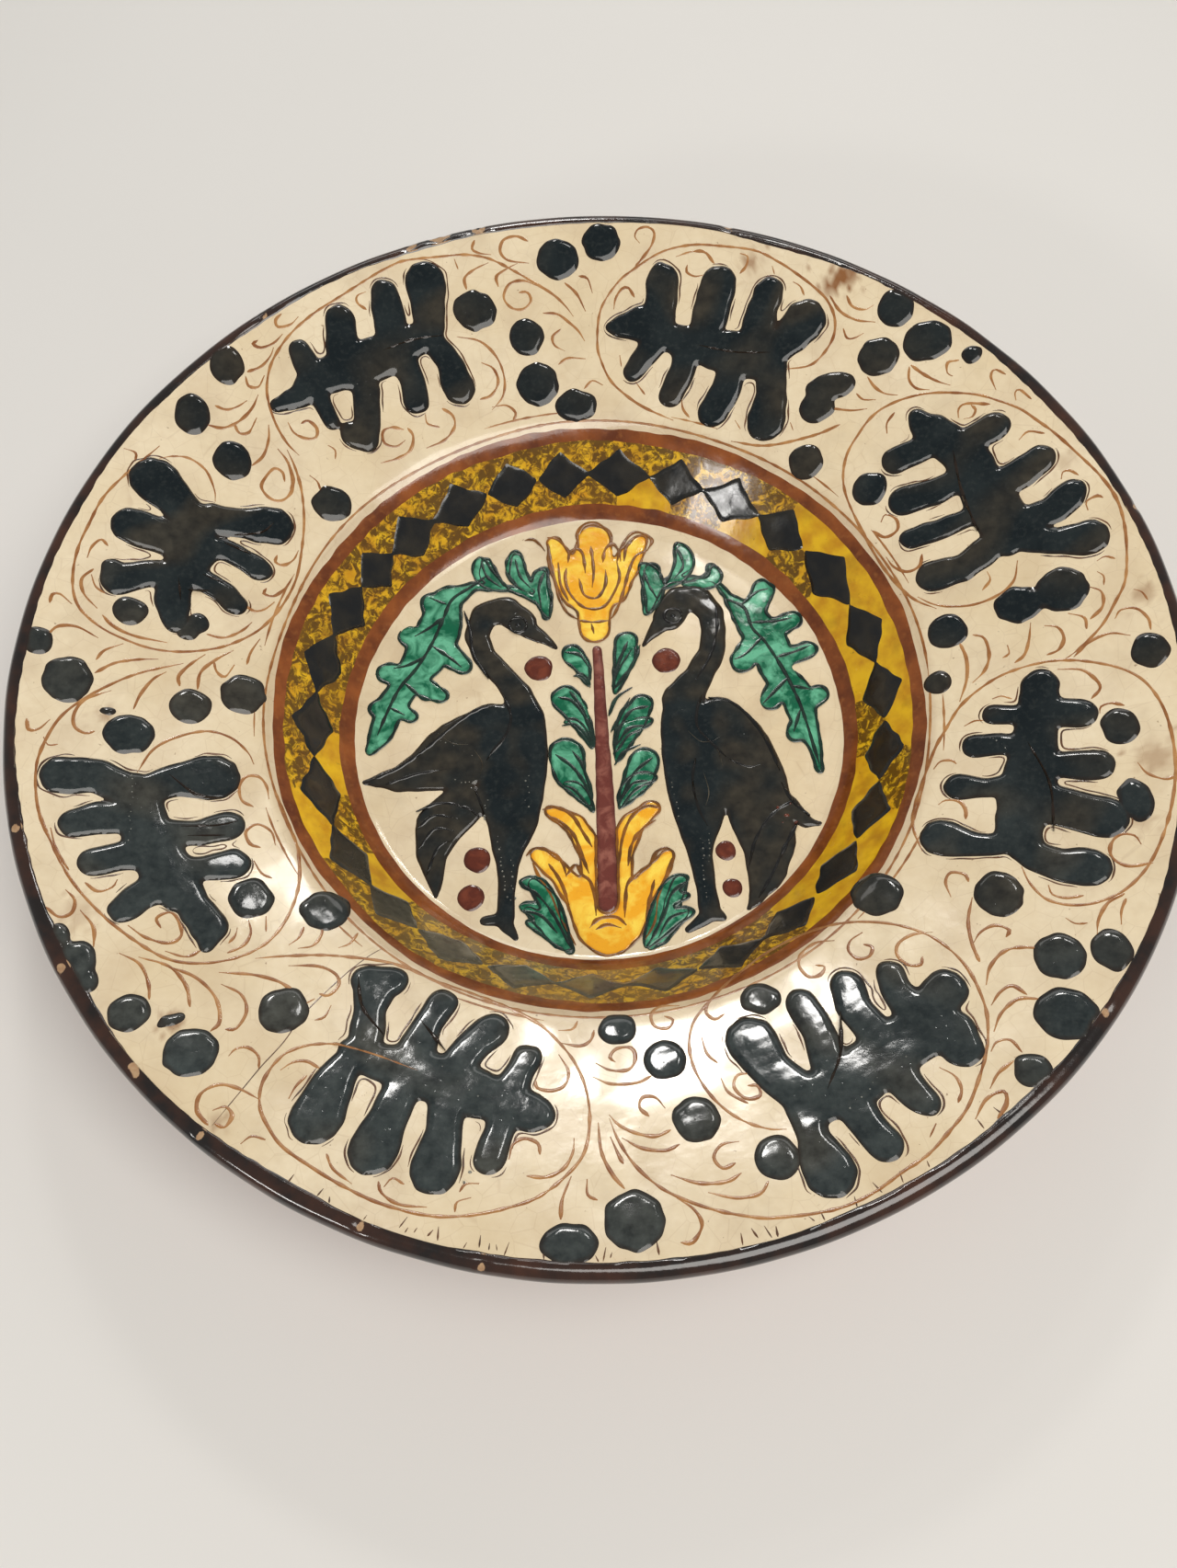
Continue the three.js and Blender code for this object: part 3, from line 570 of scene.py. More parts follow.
def lip_glaze():
    m = Recipe("lip_glaze", 0.16, 0.5)
    dark = m.mix(m.span(m.noise(16, 4, 0.6), 0.40, 0.68), srgb(26, 20, 18), srgb(66, 38, 25))
    ragged = m.span(m.math("ADD", m.painted("worn"), m.math("MULTIPLY", m.noise(1.6, 3), 0.5)), 0.62, 0.72)
    m.colour(m.mix(ragged, dark, m.mix(m.noise(1.2, 3), srgb(200, 172, 132), srgb(140, 92, 60))))
    m.roughness(m.span(ragged, 0, 1, 0.14, 0.75))
    m.bump(m.noise(4, 3), 0.10)
    return m.material


def bare_clay():
    m = Recipe("bare_clay", 0.82)
    body = m.mix(m.span(m.noise(24, 4, 0.6), 0.35, 0.68), srgb(186, 116, 76), srgb(158, 90, 56))
    grit = m.mix(m.span(m.noise(1.1, 3), 0.62, 0.78, 0.0, 0.7), body, srgb(214, 158, 112))
    m.colour(m.mix(m.span(m.noise(6, 4), 0.6, 0.8, 0.0, 0.5), grit, srgb(112, 62, 40)))
    m.roughness(m.span(m.noise(2, 3), 0.3, 0.7, 0.74, 0.92))
    m.bump(m.noise(0.9, 4, 0.65), 0.16)
    return m.material


def studio_floor():
    m = Recipe("studio_floor", 0.9)
    m.colour(m.mix(m.noise(300, 2), srgb(222, 220, 216), srgb(230, 228, 225)))
    return m.material


CREAM = cream_slip()
BROWN = brown_slip()
YELLOW = yellow_slip()
DARK = dark_glaze()
DIAMOND = diamond_glaze()
LIP_PAINT = lip_glaze()
CLAY = bare_clay()
GREEN = wash("green_glaze", srgb(104, 184, 148), srgb(8, 96, 66), srgb(3, 46, 33), pale_size=7)
ORANGE = wash("orange_glaze", srgb(255, 220, 84), srgb(244, 174, 38), srgb(206, 118, 28), pale_size=9)
PLUM = wash("stem_glaze", srgb(150, 92, 78), srgb(110, 54, 46), srgb(70, 34, 28))
RED = wash("red_glaze", srgb(118, 58, 38), srgb(94, 42, 28), srgb(58, 26, 18))
GREEN_LINE = line_paint("green_outline", srgb(3, 22, 17), srgb(10, 50, 36))
OCHRE_LINE = line_paint("ochre_outline", srgb(92, 56, 12), srgb(150, 92, 18))
FEATHER_LINE = line_paint("feather_line", srgb(6, 6, 6), srgb(20, 18, 15), 0.2)
# Pale beads: burst bubbles in the glaze, their pale colour a painted highlight.
BEAD_GLINTS = line_paint("bubble_beads_and_glints", srgb(70, 74, 74), srgb(168, 168, 158), 0.15)
# Pale lines: cracks in the birds' glaze, and painted highlights along their wings.
CRACKS_AND_GLINTS = line_paint("glaze_crack_and_glint", srgb(60, 58, 52), srgb(112, 106, 92))
SCROLL_LINE = line_paint("scroll_paint", srgb(136, 82, 38), srgb(184, 134, 80))
EDGE_LINE = line_paint("leaf_outline", srgb(66, 42, 24), srgb(112, 72, 40))


# ---------------------------------------------------------------- clay, slips and lip
RIM_TILT = math.atan(RIM_SLOPE)
WALL_TILT = math.atan2(WELL_Z - FLOOR_Z, WELL_R - FLOOR_R)
LIP_MIDDLE = (CREAM_R + LIP * math.sin(RIM_TILT), CREAM_Z - LIP * math.cos(RIM_TILT))


def under_face(radius, height, tilt, depth):
    """The point of the section this deep below one of the face, square to a slope of this tilt."""
    return [radius + depth * math.sin(tilt), height - depth * math.cos(tilt)]


def underside():
    """The unglazed profile from the lip inwards, with softened corners and faint throwing rings."""
    knee = under_face(WELL_R, WELL_Z, (RIM_TILT + WALL_TILT) / 2, (RIM_THICK + WALL_THICK) / 2)
    corners = np.array([
        under_face(CREAM_R, CREAM_Z, RIM_TILT, RIM_THICK),
        knee,
        under_face(FLOOR_R, FLOOR_Z, WALL_TILT, WALL_THICK),
        [FOOT_OUTER_R + 1, SLAB_Z],
        [FOOT_OUTER_R, 0],
        [FOOT_INNER_R, 0],
        [FOOT_INNER_R - 1, SLAB_Z],
        [0.5, SLAB_Z],
    ])
    far = np.concatenate([[0], np.cumsum(np.linalg.norm(np.diff(corners, axis=0), axis=1))])
    at = np.arange(0, far[-1], 0.5)
    radius = smoothed(np.interp(at, far, corners[:, 0]), 5)
    height = smoothed(np.interp(at, far, corners[:, 1]), 5)
    grooves = 0.12 * np.sin(at * TAU / 5.2) + 0.05 * np.sin(at * TAU / 2.3 + 1)
    flat = np.clip((height - 0.6) / 2, 0, 1)
    return np.stack([radius, np.maximum(height + grooves * flat, 0)], 1)[::3]


def lip_ring(radius, angle):
    """A full turn of points, this far and in this direction from the middle of the lip's section."""
    return at_radius(LIP_MIDDLE[0] + radius * math.cos(angle), LIP_MIDDLE[1] + radius * math.sin(angle))


CLAY_TOP_R = (0.5, 70, 75, *range(78, 112, 2), CREAM_R)  # close together where the face bends
CLAY_UNDER_FACE = 1.0  # how far the top of the clay lies under the painted face


def clay_body():
    rings = [at_radius(r, np.interp(r, FACE_R, FACE_Z) - CLAY_UNDER_FACE) for r in CLAY_TOP_R]
    rings.append(lip_ring(0.6 * LIP, RIM_TILT))
    for radius, height in underside():
        x, y = radius * np.cos(TURN), radius * np.sin(TURN)
        wander = 0.12 * waves(x, y, 70, 21) * min(1, max(0, height - 1) / 3)
        rings.append(at_radius(radius, height + wander))
    turned("clay_shell", np.array(rings)[::-1], CLAY, replaces=["clay_body"], sharp=40)


# Where the lip has been knocked: degrees round from +X, half the width in degrees, and depth.
CHIPS = [
    (72, 0.6, 0.6), (101, 0.9, 0.8), (105.5, 1.3, 0.9), (109, 0.7, 0.6), (128, 0.6, 0.5), (196, 0.6, 0.6),
    (211, 0.6, 0.6), (223, 0.9, 0.5), (231.5, 0.5, 0.7), (247.5, 0.5, 0.6), (258, 0.5, 0.6), (318, 0.6, 0.5),
    (352, 0.6, 0.6), (14, 0.6, 0.5),
]


LIP_COAT = 0.12  # how far the dark glaze of the lip stands off the clay
LIP_SHELL = 1.4  # and how far its hidden side lies under the clay's round
LIP_STEPS = 18


def lip():
    """The dark glaze of the lip: it laps a little way over the cream, and it is knocked off at the chips."""
    degrees = np.degrees(TURN)
    chip = np.zeros(TURNS)
    for middle, half, depth in CHIPS:
        apart = np.abs((degrees - middle + 180) % 360 - 180)
        chip = np.maximum(chip, depth * np.clip(1.3 * (1 - (apart / half) ** 2), 0, 1))
    x, y = CREAM_R * np.cos(TURN), CREAM_R * np.sin(TURN)
    lap = np.clip(0.5 + 0.45 * waves(x, y, 60, 41) + 0.12 * waves(x, y, 7, 42), 0.08, 1.6)
    rings, worn = [], []
    for share in (0, 0.25, 0.6, 0.9):
        radius = CREAM_R - lap * (1 - share)
        lift = 0.16 * math.sqrt(share)
        rings.append(surface(radius * np.cos(TURN), radius * np.sin(TURN), lift))
        worn.append(np.clip(chip * 1.5 * share, 0, 1))
    for step in range(LIP_STEPS + 1):
        angle = math.pi / 2 + RIM_TILT - math.pi * step / LIP_STEPS
        middle = 1.3 + 0.35 * waves(x, y, 6, 44)
        bite = chip * np.exp(-(((angle - middle) / 0.45) ** 2))
        swell = 0.08 * waves(x, y, 30, 43) * math.sin(math.pi * step / LIP_STEPS)
        rings.append(lip_ring(LIP + LIP_COAT - bite + swell, angle))
        worn.append(np.clip(bite * 1.6, 0, 1))
    for angle in (RIM_TILT - math.pi / 2, RIM_TILT, RIM_TILT + math.pi / 2):
        rings.append(lip_ring(LIP - LIP_SHELL, angle))
        worn.append(np.zeros(TURNS))
    values = {"worn": np.array(worn)[::-1]}
    turned("lip_band", np.array(rings)[::-1], LIP_PAINT, values, ["lip_glaze"])


# Brown marks soaked into the rim's cream ground: [x, y, radius, strength].
STAINS = [
    [91, 142, 5.5, 1.0], [86, 139, 4, 0.7], [60, 152, 3.5, 0.6], [150, -60, 5, 0.35], [158, -42, 6, 0.4],
    [166, 12, 4, 0.5], [-147, -73, 6, 0.3], [-119, -104, 3.5, 0.9], [-147.5, -9, 3, 0.5],
    [-104, -132, 3, 0.45], [152, 62, 4, 0.3],
]


def stain(x, y):
    """How brown the cream of the rim is: faint clouds, a tinge by the well and the marks above."""
    total = 0.10 * np.clip(waves(x, y, 26, 51), 0, 1)
    total = total + 0.25 * np.exp(-(((np.hypot(x, y) - WELL_R - 1) / 1.6) ** 2))
    for cx, cy, size, strength in STAINS:
        ragged = np.hypot(x - cx, y - cy) * (1 + 0.35 * waves(x, y, 4, 52))
        total = total + strength * np.clip(1.6 - 1.6 * ragged / size, 0, 1)
    return np.clip(total, 0, 1)


# Which triangles of the wall band are sponged brown: one letter for each gap between diamonds, from +X on.
INNER_SPONGE = "bbmbmbmmmmmmmmbmbmmmmmmbbbm"
OUTER_SPONGE = "bbbmmmmmmmmmmmmbmmmmmmmbbmb"
DIAMOND_TIPS = [
    7.3, 21.5, 38, 50.5, 64, 76, 89.5, 100.5, 112, 125.3, 137.2, 147, 159.8, 173.3,
    187.8, 203.5, 218.3, 231, 246, 259.5, 272.5, 286, 299.5, 313, 327.3, 340.5, 354.3,
]
DIAMOND_MIDDLE_R = 91.7


def sponge(x, y):
    """1 in the triangles of the wall band that are sponged brown, and 0 in the others."""
    degrees = np.degrees(np.arctan2(y, x)) % 360
    tips = np.array(DIAMOND_TIPS)
    nearest = np.abs((degrees[..., None] - tips + 180) % 360 - 180).argmin(-1)
    inner = np.array([letter == "m" for letter in INNER_SPONGE])[nearest]
    outer = np.array([letter == "m" for letter in OUTER_SPONGE])[nearest]
    return np.where(np.hypot(x, y) < DIAMOND_MIDDLE_R, inner, outer).astype(float)


# Middle of the painted sheen on the front of the wall.
FRONT_SHEEN_MIDDLE = 250  # degrees round from +X


def front_sheen(x, y):
    """A painted sheen: the front of the wall, painted greyer and paler."""
    apart = np.abs((np.degrees(np.arctan2(y, x)) - FRONT_SHEEN_MIDDLE + 180) % 360 - 180)
    return np.clip(0.95 - apart / 48, 0, 0.62)


def grounds():
    """The coats of slip, from the middle of the floor out to the lip."""
    floor_edge, ring_edge = brush_edge(FLOOR_R, 61, 0.25), brush_edge(RING_R, 63, 0.3)
    wall_edge, well_edge = brush_edge(WALL_R, 65, 0.35), brush_edge(WELL_R, 67, 0.35)
    plain = {"stain": lambda x, y: 0.12 * np.clip(waves(x, y, 18, 53), 0, 1)}
    ground("floor_ground", np.full(TURNS, 0.3), floor_edge, 2.0, CREAM, ["floor_slip"], plain)
    ground("floor_band", floor_edge, ring_edge, 0.8, BROWN, ["floor_ring"])
    ground("wall_band", ring_edge, wall_edge, 0.6, YELLOW, ["wall_slip"],
           {"mottle": sponge, "front_sheen": front_sheen})
    ground("well_edge_band", wall_edge, well_edge, 0.6, BROWN, ["well_edge_ring"])
    ground("rim_ground", well_edge, np.full(TURNS, CREAM_R), 1.5, CREAM, ["rim_slip"],
           {"stain": stain})


# ---------------------------------------------------------------- glaze on the rim
def ripples(seed, size=13.0, height=0.035):
    """Slow swells over a pool of glaze."""
    return lambda x, y, depth: height * waves(x, y, size, seed)


def rim_leaves():
    """Each leaf spreads a little past its CAD outline, with a fine brown line just outside it."""
    for index in range(1, 9):
        node = f"rim_leaf_{index}"
        shape = shape_of(node)
        relief(f"{node}_glaze", shape, DARK, "dark_glaze", thick=0.8, roll=2.0, replaces=[node],
               extra=ripples(100 + index), paint={"brown": leaf_brown, "painted_sheen": painted_sheen},
               level=-0.35, wobble=0.14, seed=200 + index)
        edge = edge_lines(shape, level=-0.95, step=0.6, width=0.5, breaks=300 + index, gaps=-0.1,
                          wobble=0.2, seed=400 + index)
        lines_piece(f"{node}_outline", edge, EDGE_LINE)


# Dots too small or too worn for CAD nodes of their own: [x, y, radius along X, radius along Y], one or more
# to a piece.
SMALL_DOTS = [
    [[107, 127.5, 6, 6.8], [116, 114, 8, 7]], [[129, 106, 3.2, 3.2]], [[106, -4, 4, 4.2]],
    [[164, -7, 5.2, 5.8]], [[151.5, -30, 5, 6.2]], [[150.5, -54, 4.5, 7]], [[78, -72, 7.2, 7.2]],
    [[134, -98, 5, 6.2]], [[118.5, -114.5, 7.8, 7.5]], [[107, -129, 5, 4.8]], [[0.5, -108, 5.5, 5]],
    [[39.5, -147, 6, 6]], [[41, -101.5, 5.8, 4.8]], [[-14.5, -166, 7.5, 5.2]], [[-130, -102, 5.5, 5.5]],
    [[-146, -87, 6.2, 5.8], [-151, -81, 3.6, 4.6], [-141.5, -93, 3, 3.6]], [[-103, -66, 6.2, 6.5]],
    [[-82.5, -69, 7, 6.5]], [[-168, 14, 4.2, 5]], [[-125, -3, 6, 6]], [[-110.5, 3, 6.5, 7]],
    [[-144, 27.5, 5, 4.8]], [[-127.7, 22.9, 3.4, 3.4], [-124.6, 26, 3.4, 3.4]],
    [[-128.5, 98.5, 5.5, 7.2]], [[-118, 117, 5.5, 6.8]],
    [[-119.5, -104, 2.6, 1.6], [-117.2, -103, 1.9, 1.5], [-121.8, -105.6, 1.3, 1]],
    [[-147.5, -7.5, 2.2, 1.6]],
]


def rim_dots():
    """The dots with CAD nodes first, then the small ones."""
    shapes = [(f"rim_dot_{i}", shape_of(f"rim_dot_{i}"), [f"rim_dot_{i}"]) for i in range(1, 24)]
    shapes += [(f"small_dot_{i}", shape_of_dots(dots), []) for i, dots in enumerate(SMALL_DOTS, 1)]
    for index, (name, shape, nodes) in enumerate(shapes):
        relief(f"{name}_glaze", shape, DARK, "dark_glaze", thick=0.6, roll=2.0, replaces=nodes,
               extra=ripples(500 + index, 9, 0.04), paint={"brown": dot_brown, "painted_sheen": painted_sheen},
               wobble=0.22, seed=600 + index)


def diamonds():
    """The chain of diamonds on the wall, all one piece."""
    relief("diamond_chain", shape_of("wall_diamonds"), DIAMOND, "dark_glaze", thick=0.27, roll=0.9,
           step=0.45, replaces=["wall_diamonds"], extra=ripples(701, 9, 0.04), paint={"front_sheen": front_sheen},
           soften=1, wobble=0.22, seed=702)


# ---------------------------------------------------------------- brown line work of the rim
# The tendril round each leaf, as points in plan.
TENDRILS = [
    [(31, 102), (21.8, 107), (15.7, 111.5), (10.3, 117), (7.3, 124), (6.3, 130), (8, 141), (14, 149.5),
     (20, 154), (30, 159), (40, 160.3), (49.5, 159), (61.8, 155.8), (69.5, 150.8), (75.7, 145.4),
     (81, 140), (85, 134.6), (87, 128), (86, 121.5), (81.8, 116), (77.2, 113.5), (69.5, 113.8)],
    [(-95.2, 88.5), (-99, 92.3), (-102.5, 98.5), (-104.8, 106), (-105.2, 112.3), (-103.5, 120),
     (-98.3, 129.2), (-91, 137), (-82.2, 143.8), (-71.4, 151.5), (-64.5, 155.8), (-58.3, 158.5),
     (-46, 160.3), (-38, 161), (-30, 159.7), (-22, 155.8), (-14, 151), (-8, 147), (-4, 143),
     (-1.5, 139.5)],
    [(-42, 133), (-34, 131.5), (-28.5, 126), (-26.3, 119), (-27.2, 113), (-31, 108.5)],
    [(109, 21.5), (102, 27.5), (95, 40), (88.7, 57), (85.5, 70), (87, 80), (92, 87.5), (96.6, 92.2),
     (102, 94.8), (109, 96), (117, 95.5), (128.2, 92.2), (135, 88.3), (141.2, 83.7), (145.8, 78.3),
     (150.5, 72.2), (155.8, 63.7), (160.5, 55.2), (163.5, 47.5), (164.7, 39.8), (164.3, 30), (162, 18),
     (158, 11), (153, 4), (146, -2), (141, -5)],
    [(104, 27), (108, 23.5), (113, 21.3), (120, 20.3), (127, 21.8), (132, 25.5), (134, 32)],
    [(92.6, -60), (91.5, -52), (93, -45), (97, -36), (101.8, -26.3), (105.7, -20.5), (111, -13.5),
     (118, -8.5), (125, -5.5), (134, -4.2), (142, -5), (150, -8), (157, -12.5), (161.5, -19),
     (163.7, -30), (162.5, -45), (157.5, -60), (150, -73), (142, -80.5), (134, -83.5), (127, -83.3),
     (121.5, -80.5), (118.5, -75), (117.5, -69.5)],
    [(43, -139.7), (38, -139.2), (31, -136), (25, -130), (21, -122), (20, -114), (22, -107), (27, -101),
     (32, -96), (38, -91), (46, -85.5), (56, -81.5), (67, -80), (78, -81.5), (87, -85.5), (93, -91),
     (97.5, -99), (99.4, -109.5), (98.6, -117.2), (96.3, -124.2), (92.5, -131.8), (88.6, -138),
     (83.2, -143.4), (77, -148.8), (70.2, -152.6), (62.5, -157.2), (54.8, -160.3), (47, -161.7),
     (38, -162.2), (33, -162), (24, -160), (16, -157), (9, -153), (3, -147), (-1, -140), (-3, -134)],
    [(-70, -111.5), (-77, -110.5), (-84, -111), (-90, -114), (-94, -121), (-94, -128), (-91, -134),
     (-87, -139), (-80, -144), (-72, -149), (-62, -154), (-50, -157.5), (-40, -158), (-30, -156.5),
     (-22, -154), (-15, -149), (-10, -143), (-8.2, -134), (-9, -125), (-12, -117), (-17, -110),
     (-22, -105), (-30, -100), (-41, -95), (-50, -91.5), (-58, -87.5), (-66, -85), (-80, -83.5),
     (-92, -84), (-100, -85)],
    [(-128, 11.5), (-139, 7), (-147, 2), (-155, -5), (-160, -12), (-163, -22), (-163.5, -30),
     (-161.5, -41), (-157, -51), (-150, -63), (-141, -73), (-131, -81), (-122, -86), (-113, -86.8),
     (-104, -84.5), (-97, -79.5), (-92.5, -71), (-90.5, -60), (-92, -48), (-96, -38), (-100, -28)],
    [(-137.5, -27), (-134, -19), (-128, -14), (-120, -11), (-113, -12.5), (-108, -17), (-106, -21)],
    [(-138, 86), (-148, 74), (-154, 65), (-157.5, 55), (-159.5, 48), (-160.5, 40), (-160, 32),
     (-157.5, 26), (-152, 21), (-146, 18), (-138, 15.5), (-130, 15.3), (-122, 17), (-115, 20), (-108, 25),
     (-103, 31), (-99, 38), (-96, 46), (-94.5, 56), (-93.8, 66), (-94.5, 76), (-96.5, 84), (-99, 90)],
    [(-138, 81.5), (-134, 83), (-129, 83), (-124, 79.5), (-121.3, 73), (-121, 69)],
]

